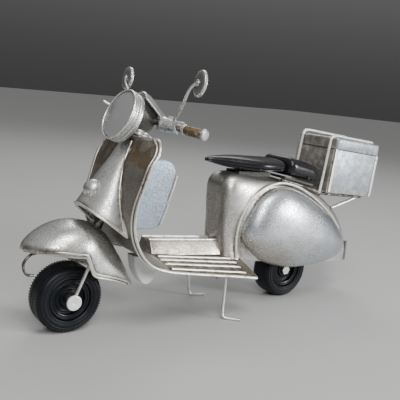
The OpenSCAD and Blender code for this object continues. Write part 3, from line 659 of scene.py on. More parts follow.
# Painted light: the spine foot is pale white and not metallic, so it stays bright in the shade under
# the shield, standing in for the light its silver tin catches from the ground.
spine_lit_white = pale_paint("spine_lit_white", (0.86, 0.87, 0.86), (0.78, 0.78, 0.76),
                         (0.6, 0.55, 0.48), rough=0.4, metal=0.0, seed=19)
cap_white = pale_paint("cap_white", (0.88, 0.89, 0.89), (0.78, 0.79, 0.79),
                       (0.5, 0.48, 0.44), rough=0.38, metal=0.3, seed=27)
seat_black = gloss_black("seat_black", (0.008, 0.008, 0.01), (0.045, 0.043, 0.04), 0.22)
tyre_black = moulded_rubber("tyre_black", 0.36)
hub_black = moulded_rubber("hub_black", 0.28)
copper = worn_copper("grip_copper")
lamp_finish = lamp_grey("lamp_grey")
mirror_finish = mirror_disc("mirror_polish")


# ---------------------------------------------------------------- pieces
seams = []


class Shape:
    """Points and faces of one piece, gathered in millimetres."""

    def __init__(self):
        self.points, self.faces = [], []

    def add(self, part, at=GROUND):
        points, faces = part
        start = len(self.points)
        self.points += [at @ Vector(p) for p in points]
        self.faces += [[start + i for i in face] for face in faces]
        return self


def welded(points, faces):
    """Closed skin with doubled points merged and its faces turned outward."""
    bm = bmesh.new()
    verts = [bm.verts.new(p) for p in points]
    for face in faces:
        bm.faces.new([verts[i] for i in face])
    bmesh.ops.remove_doubles(bm, verts=bm.verts, dist=MERGE)
    bmesh.ops.dissolve_degenerate(bm, edges=bm.edges, dist=SLIVER)
    bmesh.ops.recalc_face_normals(bm, faces=bm.faces)
    return bm


def settle(made, body, stands_for):
    """Puts a finished piece on its body and hides the frame parts it stands for."""
    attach(made, body)
    if stands_for:
        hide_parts(*stands_for)
    return made


def linked(name, mesh):
    made = bpy.data.objects.new(name, mesh)
    bpy.context.scene.collection.objects.link(made)
    return made


def weather(mesh, reach):
    """Marks on each point how rubbed, how hollow and how close to a seam it is; the seam mark later
    darkens paint as stain and as painted shade.
    """
    count = len(mesh.vertices)
    place, normal = np.empty(count * 3), np.empty(count * 3)
    mesh.vertices.foreach_get("co", place)
    mesh.vertices.foreach_get("normal", normal)
    place, normal = place.reshape(-1, 3), normal.reshape(-1, 3)
    pairs = np.empty(len(mesh.edges) * 2, np.int32)
    mesh.edges.foreach_get("vertices", pairs)
    a, b = pairs.reshape(-1, 2).T
    run = place[b] - place[a]
    length = np.maximum(np.linalg.norm(run, axis=1), 1e-9)
    fall = (np.bincount(a, -(run * normal[a]).sum(1) / length, count)
            + np.bincount(b, (run * normal[b]).sum(1) / length, count))
    bend = fall / np.maximum(np.bincount(a, minlength=count) + np.bincount(b, minlength=count), 1)
    near = np.zeros(count)
    if reach:
        for i, p in enumerate(place):
            near[i] = math.exp(-(seam_tree.find(p)[2] / (reach * MM)) ** 2)
    for name, values in (("wear", np.clip(bend * 3.2, 0, 1)),
                         ("hollow", np.clip(-bend * 3.2, 0, 1)), ("grime", near)):
        mesh.attributes.new(name, "FLOAT", "POINT").data.foreach_set("value", values)


def piece(name, shape, body, finish, stands_for=(), bevel=0.0, dent=0.0, sharp=38,
          reach=1.1, holes=()):
    """One solid piece: merged, bevelled, dented, weathered and painted."""
    bm = welded([p * MM for p in shape.points], shape.faces)
    if bevel:
        corners = [e for e in bm.edges if e.is_manifold and e.calc_face_angle(0) > math.radians(32)]
        bmesh.ops.bevel(bm, geom=corners, offset=bevel * MM, segments=3, profile=0.6,
                        affect="EDGES", clamp_overlap=True)
    if dent:
        for v in bm.verts:
            v.co += noise.noise_vector(v.co / (7 * MM)) * dent * MM
    mesh = bpy.data.meshes.new(name)
    bm.to_mesh(mesh)
    bm.free()
    made = linked(name, mesh)
    for at, radius, z0, z1 in holes:
        drill(made, at, radius, z0, z1)
    mesh = made.data
    mesh.materials.clear()
    mesh.materials.append(finish)
    mesh.shade_smooth()
    mesh.set_sharp_from_angle(angle=math.radians(sharp))
    weather(mesh, reach)
    return settle(made, body, stands_for)


def drill(made, at, radius, z0, z1):
    """Cuts a round hole through a piece and keeps the result as its mesh."""
    points, faces = lathe([[0, z0], [radius, z0], [radius, z1], [0, z1]], 48)
    bit = bpy.data.meshes.new("bit")
    bm = welded([at @ Vector(p) * MM for p in points], faces)
    bm.to_mesh(bit)
    bm.free()
    tool = linked("bit", bit)
    cut = made.modifiers.new("cut", "BOOLEAN")
    cut.operation, cut.solver, cut.object = "DIFFERENCE", "EXACT", tool
    made.data = plain_mesh(made)
    made.modifiers.clear()
    bpy.data.objects.remove(tool)


def plain_mesh(made):
    """The evaluated mesh of an object, without its modifiers."""
    bpy.context.view_layer.update()
    depsgraph = bpy.context.evaluated_depsgraph_get()
    return bpy.data.meshes.new_from_object(made.evaluated_get(depsgraph), depsgraph=depsgraph)


# ---------------------------------------------------------------- wire and repeats
def new_tree(name, inputs):
    """Empty geometry tree with named inputs; returns it with its ends."""
    tree = bpy.data.node_groups.new(name, "GeometryNodeTree")
    tree.is_modifier = True
    tree.interface.new_socket("Geometry", in_out="INPUT", socket_type="NodeSocketGeometry")
    for label, kind in inputs:
        tree.interface.new_socket(label, in_out="INPUT", socket_type=kind)
    tree.interface.new_socket("Geometry", in_out="OUTPUT", socket_type="NodeSocketGeometry")
    return tree, tree.nodes.new("NodeGroupInput"), tree.nodes.new("NodeGroupOutput")


def joined(tree, kind, sockets=None, **settings):
    """A node of a geometry tree with its settings and its sockets' values or links."""
    made = tree.nodes.new(kind)
    for name, value in settings.items():
        setattr(made, name, value)
    for name, value in (sockets or {}).items():
        if isinstance(value, bpy.types.NodeSocket):
            tree.links.new(value, made.inputs[name])
        else:
            made.inputs[name].default_value = value
    return made


def close_tree(tree, geometry, material, out):
    """Ends a tree in real geometry with its material."""
    real = joined(tree, "GeometryNodeRealizeInstances", {"Geometry": geometry})
    painted = joined(tree, "GeometryNodeSetMaterial",
                     {"Geometry": real.outputs[0], "Material": material})
    tree.links.new(painted.outputs[0], out.inputs[0])


def wire_tree():
    """Round wire along the edges of a path, lumpy where it was bent and soldered."""
    tree, given, out = new_tree("wire_on_path", [
        ("Radius", "NodeSocketFloat"), ("Step", "NodeSocketFloat"), ("Sides", "NodeSocketInt"),
        ("Lumps", "NodeSocketFloat"), ("Seed", "NodeSocketFloat"), ("Finish", "NodeSocketMaterial")])
    curve = joined(tree, "GeometryNodeMeshToCurve", {"Mesh": given.outputs["Geometry"]})
    fine = joined(tree, "GeometryNodeResampleCurve",
                  {"Curve": curve.outputs[0], "Length": given.outputs["Step"]}, mode="LENGTH")
    lump = joined(tree, "ShaderNodeTexNoise", {"W": given.outputs["Seed"], "Scale": 700.0},
                  noise_dimensions="4D")
    centred = joined(tree, "ShaderNodeMath", {0: lump.outputs[0], 1: 0.5}, operation="SUBTRACT")
    swell = joined(tree, "ShaderNodeMath", {0: centred.outputs[0], 1: given.outputs["Lumps"]},
                   operation="MULTIPLY")
    share = joined(tree, "ShaderNodeMath", {0: swell.outputs[0], 1: 1.0}, operation="ADD")
    radius = joined(tree, "ShaderNodeMath", {0: share.outputs[0], 1: given.outputs["Radius"]},
                    operation="MULTIPLY")
    ring = joined(tree, "GeometryNodeCurvePrimitiveCircle",
                  {"Resolution": given.outputs["Sides"], "Radius": 1.0})
    tube = joined(tree, "GeometryNodeCurveToMesh",
                  {"Curve": fine.outputs[0], "Profile Curve": ring.outputs[0],
                   "Scale": radius.outputs[0], "Fill Caps": True})
    close_tree(tree, tube.outputs[0], given.outputs["Finish"], out)
    return tree


def tread_tree():
    """Ring of small raised lugs on both shoulders of a tyre."""
    tree, given, out = new_tree("tread_lugs", [
        ("Count", "NodeSocketInt"), ("Radius", "NodeSocketFloat"), ("Shoulder", "NodeSocketFloat"),
        ("Lug", "NodeSocketVector"), ("Centre", "NodeSocketVector"),
        ("Finish", "NodeSocketMaterial")])
    circle = joined(tree, "GeometryNodeMeshCircle",
                    {"Vertices": given.outputs["Count"], "Radius": given.outputs["Radius"]})
    index = joined(tree, "GeometryNodeInputIndex")
    turns = joined(tree, "ShaderNodeMath", {0: index.outputs[0], 1: given.outputs["Count"]},
                   operation="DIVIDE")
    angle = joined(tree, "ShaderNodeMath", {0: turns.outputs[0], 1: 2 * math.pi},
                   operation="MULTIPLY")
    facing = joined(tree, "ShaderNodeCombineXYZ", {"Z": angle.outputs[0]})
    lug = joined(tree, "GeometryNodeMeshCube", {"Size": given.outputs["Lug"]})
    ring = joined(tree, "GeometryNodeInstanceOnPoints",
                  {"Points": circle.outputs[0], "Instance": lug.outputs[0],
                   "Rotation": facing.outputs[0]})
    both = joined(tree, "GeometryNodeJoinGeometry")
    for side in (-1, 1):
        away = joined(tree, "ShaderNodeMath", {0: given.outputs["Shoulder"], 1: float(side)},
                      operation="MULTIPLY")
        apart = joined(tree, "ShaderNodeCombineXYZ", {"Z": away.outputs[0]})
        moved = joined(tree, "GeometryNodeTransform",
                       {"Geometry": ring.outputs[0], "Translation": apart.outputs[0]})
        tree.links.new(moved.outputs[0], both.inputs[0])
    upright = joined(tree, "GeometryNodeTransform",
                     {"Geometry": both.outputs[0], "Rotation": (math.pi / 2, 0, 0),
                      "Translation": given.outputs["Centre"]})
    close_tree(tree, upright.outputs[0], given.outputs["Finish"], out)
    return tree


def bead_tree():
    """Small solder beads on points, each of its own size."""
    tree, given, out = new_tree("solder_beads", [
        ("Size", "NodeSocketFloat"), ("Seed", "NodeSocketInt"), ("Finish", "NodeSocketMaterial")])
    bead = joined(tree, "GeometryNodeMeshIcoSphere",
                  {"Radius": given.outputs["Size"], "Subdivisions": 3})
    scale = joined(tree, "FunctionNodeRandomValue",
                   {"Min": (0.7, 0.7, 0.5), "Max": (1.5, 1.2, 0.9), "Seed": given.outputs["Seed"]},
                   data_type="FLOAT_VECTOR")
    placed = joined(tree, "GeometryNodeInstanceOnPoints",
                    {"Points": given.outputs["Geometry"], "Instance": bead.outputs[0],
                     "Scale": scale.outputs[0]})
    close_tree(tree, placed.outputs[0], given.outputs["Finish"], out)
    return tree


def grown(name, tree, base, values):
    """Runs a geometry tree on a base mesh and returns its result as a plain piece."""
    made = linked(name, base)
    modifier = made.modifiers.new("grow", "NODES")
    modifier.node_group = tree
    for item in tree.interface.items_tree:
        if item.in_out == "INPUT" and item.name in values:
            modifier[item.identifier] = values[item.name]
    made.data = plain_mesh(made)
    made.modifiers.clear()
    return made


WIRES, TREAD, BEADS = wire_tree(), tread_tree(), bead_tree()


def wire(name, paths, gauge, body, finish, stands_for=(), lumps=0.12, at=GROUND,
         sides=12, seam=True):
    """A piece of round wire along one or more paths in millimetres."""
    points, edges = [], []
    for path in paths:
        start = len(points)
        points += [at @ Vector(p) * MM for p in path]
        edges += [[i, i + 1] for i in range(start, len(points) - 1)]
    if seam:
        seams.extend(points)
    base = bpy.data.meshes.new(name)
    base.from_pydata(points, edges, [])
    made = grown(name, WIRES, base, {
        "Radius": gauge / 2 * MM, "Step": 0.35 * MM, "Sides": sides, "Lumps": lumps,
        "Seed": float(len(name)), "Finish": finish})
    made.data.shade_smooth()
    made.data.set_sharp_from_angle(angle=math.radians(50))
    return settle(made, body, stands_for)


BOTH = (1, -1)
WIRE_D, ROD_D = 0.8, 0.9

# Borders and trims of the leg shield and the floor
for side, label in ((1, "left"), (-1, "right")):
    border = smooth([[24.1, side, 56.6], [23.6, side * 6, 56.6]]
                    + edge_of(SHIELD, side) + edge_of(FLOOR[1:], side), 5)
    wire(f"shield_wire_{label}", [border], WIRE_D, "chassis", bright_wire,
         (f"shield_wire_{label}",), lumps=0.16)
    wire(f"shield_fold_{label}", [smooth([[s[2] + 0.5, side * (s[4] - 1.0), s[3] - 0.2]
                                          for s in SHIELD + FLOOR[1:]], 5)],
         0.55, "chassis", bright_wire)
cover_sides = [smooth([[p[0] + 0.3, p[1], p[2] + 0.1] for p in edge_of(HORN_COVER, side)], 5)
               for side in BOTH]
cover_outer = [smooth([[p[0] - 0.1, p[1], p[2] - 0.2] for p in edge_of(HORN_COVER, side, 0.8)], 5)
               for side in BOTH]
lower_edge = canopy(HORN_COVER[-1:], 30)[0]
wire("horn_cover_wires",
     cover_sides + cover_outer + [lower_edge, lower_edge + np.array([-0.75, 0, -0.45])],
     0.75, "chassis", bright_wire, ("horn_cover_wires",))
wire("glove_box_wire",
     [[[12.5, 8.1, 46.2], [13.6, 8.2, 42.2], [14.9, 8.2, 38.4]],
      [[14.9, 8.2, 37.6], [16.2, 8.2, 33.8], [17.5, 8.1, 30.6]]],
     0.7, "chassis", bright_wire, ("glove_box_wire",))
wire("floor_ribs",
     [[[x, side * y, floor_height(x, y) + 0.6] for x in np.linspace(16, -12, 9)]
      for side in BOTH for y in RIB_Y],
     WIRE_D, "chassis", bright_wire, ("floor_ribs",))
slope = math.radians(4.3)
rail_x, rail_z, rail_length = 16.9, 25.5, 26.4
wire("tunnel_rails",
     [[[rail_x, side * 2.1, rail_z],
       [rail_x - rail_length * math.cos(slope), side * 2.1, rail_z - rail_length * math.sin(slope)]]
      for side in BOTH], WIRE_D, "chassis", bright_wire, ("tunnel_rails",))
wire("arch_wires",
     [[[x, side * y, z] for x, y, z in smooth(ARCH, 5)] for side in BOTH],
     0.9, "chassis", arch_cream, ("arch_wires",), lumps=0.1)
# Cowl outlines count as seams too, so painted shade darkens the body and the cowls along each cowl's
# edge.
for side in BOTH:
    seams.extend(GROUND @ Vector((x, side * side_y(x), z)) * MM
                 for x, z in smooth(COWL, 5, closed=True))

# Rack, straps and stand
wire("rack_rails",
     [smooth([[-31.2, side * RAIL_Y, 44.2], [-40.0, side * RAIL_Y, 42.2],
              [-49.0, side * RAIL_Y, 39.9], [-53.0, side * RAIL_Y, 38.8],
              [-64.0, side * RAIL_Y, 37.8], [-74.5, side * RAIL_Y, 36.8]], 5) for side in BOTH],
     ROD_D, "chassis", dark_wire, ("rack_rails",))
wire("rack_struts",
     [[[-58.6, side * 6.4, 33.3], [-64.2, side * 6.6, 34.9], [-70.2, side * 6.8, 36.6]]
      for side in BOTH]
     + [[[x, -RAIL_Y, 38.6 + (x + 54.5) * 0.095], [x, RAIL_Y, 38.6 + (x + 54.5) * 0.095]]
        for x in (-54.5, -73.5)],
     1.1, "chassis", bright_wire, ("rack_struts",))


def strap(side):
    over = BOX_H + ROD_D / 2 + (0.05 if side > 0 else 0.8)
    y = side * 7
    return smooth([[1.9, y, -0.6], [1.5, y, 6], [1.3, y, 12], [1.1, y, 17.6],
                   [0.6, y, over - 0.7], [-1.6, y, over], [-8, y, over], [-15, y, over],
                   [-22, y, over]], 5)


wire("box_straps", [strap(side) for side in BOTH], ROD_D + 0.1, "chassis",
     strap_white, ("box_straps",), lumps=0.28, at=BOX)
sole = ROD_D / 2 + 0.02
stand_top = [-8.4, 13.2]
left_leg = [[stand_top[0], 10.2, stand_top[1]], [-8.1, 10.6, 9.5], [-7.4, 11.4, 5],
            [-6.8, 12.2, 1.6], [-7.2, 12.8, sole + 0.15], [-8.8, 14.3, sole], [-11, 16.4, sole]]
right_leg = [[stand_top[0], -10.2, stand_top[1]], [-8.2, -10.1, 9.5], [-8.5, -10, 5],
             [-9, -9.9, 1.6], [-9.8, -9.6, sole + 0.15], [-11.8, -8.7, sole], [-14.2, -7.6, sole]]
wire("stand",
     [np.vstack([smooth(right_leg[::-1], 6), smooth(left_leg, 6)])],
     ROD_D, "stand", bright_wire, ("stand",), lumps=0.08)

# Fork, bumper, levers, mirror stems and the mudguard's rolled rim
wire("fork",
     [smooth([[0, side * FORK_Y, 0], [0, side * FORK_Y, 8], [0, side * FORK_Y, 13.4],
              [0, side * (FORK_Y - 0.9), 14.1], [0, 0, 14.1]], 5) for side in BOTH],
     1.0, "steering", bright_wire, ("fork",), at=RAKED)
wire("bumper_wire",
     [smooth([[47.2, 0, 24.2], [50.6, 0, 23.6], [53.0, 0, 23.0], [54.7, 0, 20.6],
              [53.8, 0, 17.8], [51.6, 0, 17.2]], 6)],
     WIRE_D, "steering", dark_wire, ("bumper_wire",))
wire("levers",
     [smooth([[-4.6, 11.6, 55.0], [-2.6, 12.0, 56.0], [-1.4, 13.2, 57.2], [-2.6, 15.6, 57.6]], 6),
      smooth([[-4.6, -11.6, 55.0], [-2.4, -12.4, 55.8], [1.6, -14.2, 56.8], [6.6, -16.8, 57.5]], 6)],
     0.7, "steering", bright_wire, ("levers",), at=RAKED)
wire("mirror_stems",
     [smooth([[-3.6, side * 8.6, 57.2], [-1.0, side * 13.6, 61.4], [1.7, side * 17.8, 65.9],
              [1.5, side * 19.7, 68.2]], 6)
      for side in BOTH], ROD_D, "steering", grey_wire, ("mirror_stems",), at=RAKED)
wire("mudguard_rim",
     [smooth(edge_of(MUDGUARD, side, out, lift), 5)
      for side in BOTH for out, lift in ((0, 0), (0.15, 0.85))],
     0.78, "steering", bright_wire, ("mudguard_rim",))

# Solder beads where wires meet
joints = ([[x, side * 15.5, floor_height(x, 15.5) - 0.2] for side in BOTH for x in (-12, -4, 15)]
          + [[-12.2, side * y, floor_height(-12.2, y) + 0.45] for side in BOTH
             for y in RIB_Y]
          + [[16.2, side * y, floor_height(16.2, y) + 0.45] for side in BOTH for y in RIB_Y[1:3]]
          + [[-58.8, side * 6.5, 33.5] for side in BOTH] + [[-69.8, side * 6.8, 36.7] for side in BOTH]
          + [[-15.0, side * 6.9, 18.6] for side in BOTH])
base = bpy.data.meshes.new("solder")
base.from_pydata([GROUND @ Vector(p) * MM for p in joints], [], [])
solder = grown("solder_beads", BEADS, base, {"Size": 0.55 * MM, "Seed": 4, "Finish": strap_white})
solder.data.shade_smooth()
settle(solder, "chassis", ())

seam_tree = KDTree(len(seams))
for i, p in enumerate(seams):
    seam_tree.insert(p, i)
seam_tree.balance()

# ---------------------------------------------------------------- leg shield and floor
shield_grid = panel(smooth(SHIELD, 7), 72)
piece("leg_shield", Shape().add(sheet(shield_grid)), "chassis", dull_tin,
      ("leg_shield",), dent=0.25, reach=0.8, holes=[(RAKED, 2.9, 15, 28), (RAKED, 2.25, 27.9, 60)])
piece("floor_pan", Shape().add(sheet(panel(smooth(FLOOR, 14), 72))), "chassis",
      pan_brown, ("floor_pan",), dent=0.12)
piece("horn_cover", Shape().add(sheet(canopy(smooth(HORN_COVER, 14), 80))), "chassis",
      bright_cover, ("horn_cover",), dent=0.15, reach=0.9)

ball_r = 2.9
ball = [[ball_r * math.sin(a), ball_r * math.cos(a)] for a in np.radians(np.linspace(0, 180, 33))]
nose = GROUND @ shift(35.8, 1, 41.2) @ turn(58, "Y")
piece("horn_dome",
      Shape().add(lathe(ball, 56), nose)
      .add(turned([[0.2, -1.2], [3.25, -1.2], [3.35, -0.8], [2.9, -0.45], [0.2, -0.45]], 0.12), nose),
      "chassis", hammered, ("horn_dome",))

glove = [[16.0, 50.6], [13.9, 49.6], [12.7, 47.2], [12.9, 45.0], [17.0, 31.8], [18.6, 30.4],
         [26.8, 30.4], [29.4, 36.0], [29.0, 41.0], [27.2, 46.5], [25.2, 50.4]]
piece("glove_box",
      Shape().add(prism(eased(glove, 1.4), -8, 8)),
      "chassis", blue_tin, ("glove_box",), bevel=0.45, dent=0.1,
      holes=[(RAKED, 2.3, 15, 60)])
flanges = Shape()
for side in BOTH:
    flanges.add(prism(eased([[26.9, 30.2], [27.7, 30.2], [30.0, 36.0], [29.6, 41.0], [27.8, 46.6],
                             [25.9, 50.6], [25.1, 50.6], [28.9, 41.0], [29.2, 36.0]], 0.4),
                      side * 7.4, side * 8.3))
piece("glove_box_flanges", flanges, "chassis", blue_tin, bevel=0.15)

tunnel_rings = []
for x, top_cut in ((17.6, 1.0), (17.3, 1.0), (16, 0.2), (10, 0), (0, 0), (-9.6, 0)):
    z = 21.0 - (17.6 - x) * math.tan(slope)
    tunnel_rings.append([[x - (top_cut if h else 0), y, z + h] for y, h in
                         eased([[-4.6, 0], [4.6, 0], [2.6, 4.4], [-2.6, 4.4]], 0.45)])
piece("tunnel", Shape().add(loft(tunnel_rings)), "chassis", floor_tin, ("tunnel",),
      dent=0.12, reach=1.3)
foot = smooth([[21.6, 20.6], [20.8, 16.4], [19.2, 13.2], [17.0, 11.2], [14.8, 11.8],
               [13.6, 14.4], [13.2, 19.6]], 6)
# Painted light: its pale finish keeps the foot bright in the shield's shade.
piece("spine_foot", Shape().add(prism(foot, -2.2, 2.2)), "chassis", spine_lit_white,
      ("spine_foot",), bevel=0.7, dent=0.15)

# ---------------------------------------------------------------- rear body and seats
piece("body_shell", Shape().add(sheet(canopy(smooth(BODY, 10), 112))), "chassis",
      body_silver, ("body_shell",), dent=0.22, reach=1.0)
for side, label in ((1, "left"), (-1, "right")):
    piece(f"cowl_{label}", Shape().add(cowl_dome(side)), "chassis", cowl_silver,
          (f"cowl_{label}",), dent=0.12, reach=0.9)


def seat_pin(x, y, z, side):
    """Round-headed pin through the lower edge of a seat."""
    pin = turned([[0, -0.5], [0.55, -0.5], [0.55, 0.1], [0.35, 0.4], [0, 0.5]], 0.15, 24)
    return pin, GROUND @ shift(x, y, z) @ turn(-90 * side, "X")


saddle = Shape().add(pod([
    [-3.4, 0.5, 50.2, 0.35, 0.3], [-4.6, 1.5, 50.0, 0.9, 0.7], [-7.5, 2.7, 49.7, 1.5, 1.2],
    [-11.5, 4.3, 49.4, 1.95, 1.7], [-16.5, 6.6, 49.1, 2.25, 2.0], [-21.5, 8.4, 48.9, 2.2, 2.1],
    [-27.0, 8.4, 48.8, 2.1, 2.1], [-31.2, 7.5, 48.8, 2.0, 2.0], [-32.7, 6.3, 48.8, 1.6, 1.6],
    [-33.4, 4.6, 48.8, 0.8, 0.8]], power=0.72))
for side in BOTH:
    for x, y in ((-20.0, 8.0), (-30.0, 7.7)):
        saddle.add(*seat_pin(x, side * y, 47.7, side))
piece("saddle", saddle, "chassis", seat_black, ("saddle",), sharp=60)
welt = [[-4.0, 0.9, 49.7], [-7.5, 2.75, 49.0], [-11.5, 4.35, 48.3], [-16.5, 6.65, 47.9],
        [-21.5, 8.4, 47.7], [-27.0, 8.4, 47.6], [-31.2, 7.5, 47.6], [-33.1, 5.2, 47.7],
        [-33.4, 2.0, 47.8]]
around = welt + [[x, -y, z] for x, y, z in welt[::-1]]
wire("saddle_welt", [smooth(around, 5, closed=True)], 0.55, "chassis", seat_black,
     lumps=0.05, seam=False)

pillion = Shape().add(pod([
    [-34.0, 5.4, 48.5, 1.5, 1.5], [-34.5, 7.0, 48.5, 2.6, 2.6], [-35.9, 8.0, 48.3, 3.5, 3.0],
    [-39.0, 8.1, 47.6, 3.6, 2.9], [-43.5, 8.1, 46.7, 3.5, 2.8], [-46.6, 8.0, 46.1, 3.2, 2.8],
    [-48.9, 7.2, 45.9, 2.4, 2.4], [-49.6, 5.6, 45.8, 1.3, 1.3]], power=0.42))
for side in BOTH:
    pillion.add(*seat_pin(-43.0, side * 7.9, 44.6, side))
piece("pillion", pillion, "chassis", seat_black, ("pillion",), sharp=60)

# ---------------------------------------------------------------- top box and tail
middle_of_box = BOX @ shift(-BOX_L / 2, 0, 0)
split = BOX_H - LID_H
piece("box_case",
      Shape().add(rounded_box([[0.5, 0.1], [0.12, 0.25], [0, 0.6], [0, split - 0.3],
                               [0.1, split - 0.08], [0.55, split - 0.05], [0.6, split - 0.4],
                               [0.6, 1.0], [0.9, 0.8]], BOX_L, BOX_W), middle_of_box),
      "chassis", box_paint, ("box_case",), dent=0.12, reach=0.7)
piece("box_lid",
      Shape().add(rounded_box([[0.9, BOX_H - 0.9], [0.6, BOX_H - 1.0], [0.6, split + 0.3],
                               [0.5, split + 0.05], [-0.2, split + 0.04], [-0.32, split + 0.25],
                               [-0.3, BOX_H - 0.8], [-0.18, BOX_H - 0.35], [0.15, BOX_H - 0.08],
                               [0.7, BOX_H]], BOX_L, BOX_W), middle_of_box),
      "chassis", box_paint, ("box_lid",), dent=0.12, reach=0.7)
half_l, half_w = BOX_L / 2 + 0.08, BOX_W / 2 + 0.08
seam_line = eased([[half_l, half_w], [-half_l, half_w], [-half_l, -half_w], [half_l, -half_w]], 1)
wire("lid_seam", [[(x, y, split - 0.08) for x, y in seam_line + seam_line[:1]]],
     0.36, "chassis", dark_paint_and_shade, at=middle_of_box, lumps=0.05)
strips = Shape()
for side in BOTH:
    for end in BOTH:
        corner = middle_of_box @ shift(end * BOX_L / 2, side * BOX_W / 2, 0)
        arm = [[0.25, 0.25], [-1.0, 0.25], [-1.0, 0.0], [-0.35, 0.0], [0.0, -0.35], [0.0, -1.0],
               [0.25, -1.0]]
        outline = [[end * x, side * y] for x, y in eased(arm, 0.12)]
        points = [[x, y, z] for z in (0.4, split - 0.2) for x, y in outline]
        strips.add((points, capped(len(outline))), corner)
        for z in (1.6, split - 1.6):
            pin = turned([[0, -0.1], [0.4, -0.1], [0.4, 0.05], [0.2, 0.2], [0, 0.22]], 0.1, 20)
            strips.add(pin, corner @ shift(-end * 0.6, side * 0.22, z) @ turn(-90 * side, "X"))
piece("box_corner_strips", strips, "chassis", bright_wire, ("box_corner_strips",),
      reach=0)
piece("tail_light",
      Shape().add(turned([[0, -0.6], [3.3, -0.6], [3.35, -0.2], [3.0, -0.05], [2.95, 0.5],
                          [2.5, 1.7], [1.6, 2.65], [0.6, 3.1], [0, 3.15]], 0.2),
                  GROUND @ shift(-65.8, 0, 26.6) @ turn(-62, "Y")),
      "chassis", cap_white, ("tail_light",))
plate = Shape().add(block(-73.6, -73.05, -3.6, 3.6, 11.2, 18.6)).add(
    block(-73.05, -71.6, -1.2, 1.2, 12.4, 14.6))
for side in BOTH:
    plate.add(block(-73.75, -72.95, side * 3.6 - 0.3, side * 3.6 + 0.3, 11.0, 18.8))
piece("number_plate", plate, "chassis", dark_paint_and_shade, ("number_plate",), bevel=0.12)

# ---------------------------------------------------------------- steering head and lamp
lug = prism([[-4.4, 50.9], [-2.6, 50.9], [-2.6, 52.1], [-4.4, 52.1]], -1.3, 1.3)
piece("neck_collar",
      Shape().add(turned([[1.4, 50.6], [3.0, 50.6], [3.2, 50.9], [3.2, 51.2], [2.95, 51.4],
                          [2.95, 51.6], [3.2, 51.8], [3.1, 52.3], [1.4, 52.3]], 0.12), RAKED)
      .add(lug, RAKED),
      "steering", bright_cover, ("neck_collar",), reach=0)
hood = panel(smooth([[4.5, 62.3, 4.7, 60.6, 3.4], [1.6, 61.9, 1.0, 59.3, 3.6],
                     [-2.2, 60.3, -3.2, 57.6, 3.6], [-5.3, 59.1, -5.8, 56.6, 3.6],
                     [-6.2, 58.0, -6.3, 56.2, 3.4], [-6.1, 56.8, -6.0, 55.9, 2.9]], 5), 24)
piece("headset", Shape().add(sheet(hood, 0.6), RAKED), "steering", bright_cover,
      ("headset",), dent=0.1, reach=0)
# Painted shade: the dark core fills the shade under the hood's overhang.
core = [[5.2, 61.0], [3.4, 61.2], [1.6, 60.9], [-2.6, 59.2], [-2.6, 53.6], [-1.8, 52.4],
        [1.6, 52.4], [3.6, 51.4], [5.2, 51.4]]
piece("headset_core", Shape().add(prism(eased(core, 0.7), -1.6, 1.6), RAKED), "steering",
      dark_paint_and_shade, bevel=0.5, dent=0.1, reach=0)
lamp_r = 7.65
piece("lamp_bowl",
      Shape().add(turned([[0, 5.2], [lamp_r - 0.5, 5.25], [lamp_r - 0.7, 5.0], [6.6, 4.72],
                          [5.6, 4.4], [4.4, 3.7], [3.4, 3.4], [0, 3.4]], 0.3, 96), LAMP),
      "steering", silver, ("lamp_bowl",), reach=0)
piece("lamp_rim",
      Shape().add(turned([[6.4, 5.3], [lamp_r - 0.3, 5.3], [lamp_r, 5.6], [lamp_r, 6.6],
                          [lamp_r - 0.35, 6.93], [6.4, 6.93]], 0.12, 96), LAMP),
      "steering", silver, ("lamp_rim",), reach=0)
piece("lamp_bezel",
      Shape().add(turned([[7.24, 7.05], [lamp_r - 0.1, 7.05], [lamp_r + 0.1, 7.3],
                          [lamp_r + 0.1, 7.65], [lamp_r - 0.3, 7.8], [lamp_r - 0.3, 8.1],
                          [lamp_r + 0.1, 8.25], [lamp_r + 0.08, 8.75], [lamp_r - 0.1, 9.08],
                          [7.36, 9.05], [7.24, 8.8]], 0.1, 96), LAMP),
      "steering", bright_cover, ("lamp_bezel",), reach=0)
piece("lamp_glass",
      Shape().add(turned([[0, 6.95], [7.12, 6.95], [7.12, 8.45], [6.95, 8.62], [6.6, 8.6],
                          [5.0, 8.68], [2.5, 8.74], [0, 8.78]], 0.1, 96), LAMP),
      "steering", lamp_finish, ("lamp_glass",), reach=0)

collars, grips, ferrules = Shape(), Shape(), Shape()
for side in BOTH:
    collars.add(turned([[1, 5.6], [2.05, 5.6], [2.15, 5.9], [2.05, 6.3], [1.95, 7.4], [2.1, 7.7],
                        [2.0, 8.1], [1.8, 10.4], [1.65, 11], [1, 11]], 0.15), bar(side))
    collars.add(prism(eased([[-2.6, 7.2], [-1.4, 7.2], [-1.4, 9.4], [-2.6, 9.0]], 0.4), -0.9, 0.9),
                bar(side) @ turn(90 * side, "Z"))
    ribs = [[1, 14.3], [1.32, 14.3]]
    for k in range(9):
        z = 14.7 + k * 0.62
        ribs += [[1.38, z], [1.38, z + 0.34], [1.28, z + 0.44], [1.28, z + 0.52]]
    grips.add(turned(ribs + [[1.45, 20.2], [1.45, 20.4], [1, 20.4]], 0.06), bar(side))
    ferrules.add(turned([[0, 20.4], [1.5, 20.4], [1.62, 20.6], [1.6, 21.2], [1.35, 21.45],
                         [0, 21.5]], 0.12), bar(side))
    ferrules.add(turned([[1, 13.2], [1.45, 13.2], [1.55, 13.5], [1.55, 13.9], [1.45, 14.2],
                         [1, 14.2]], 0.1), bar(side))
piece("bar_collars", collars, "steering", silver, ("bar_collars",), reach=0)
piece("grips", grips, "steering", copper, ("grips",), reach=0)
piece("grip_ferrules", ferrules, "steering", bright_cover, ("grip_ferrules",), reach=0)

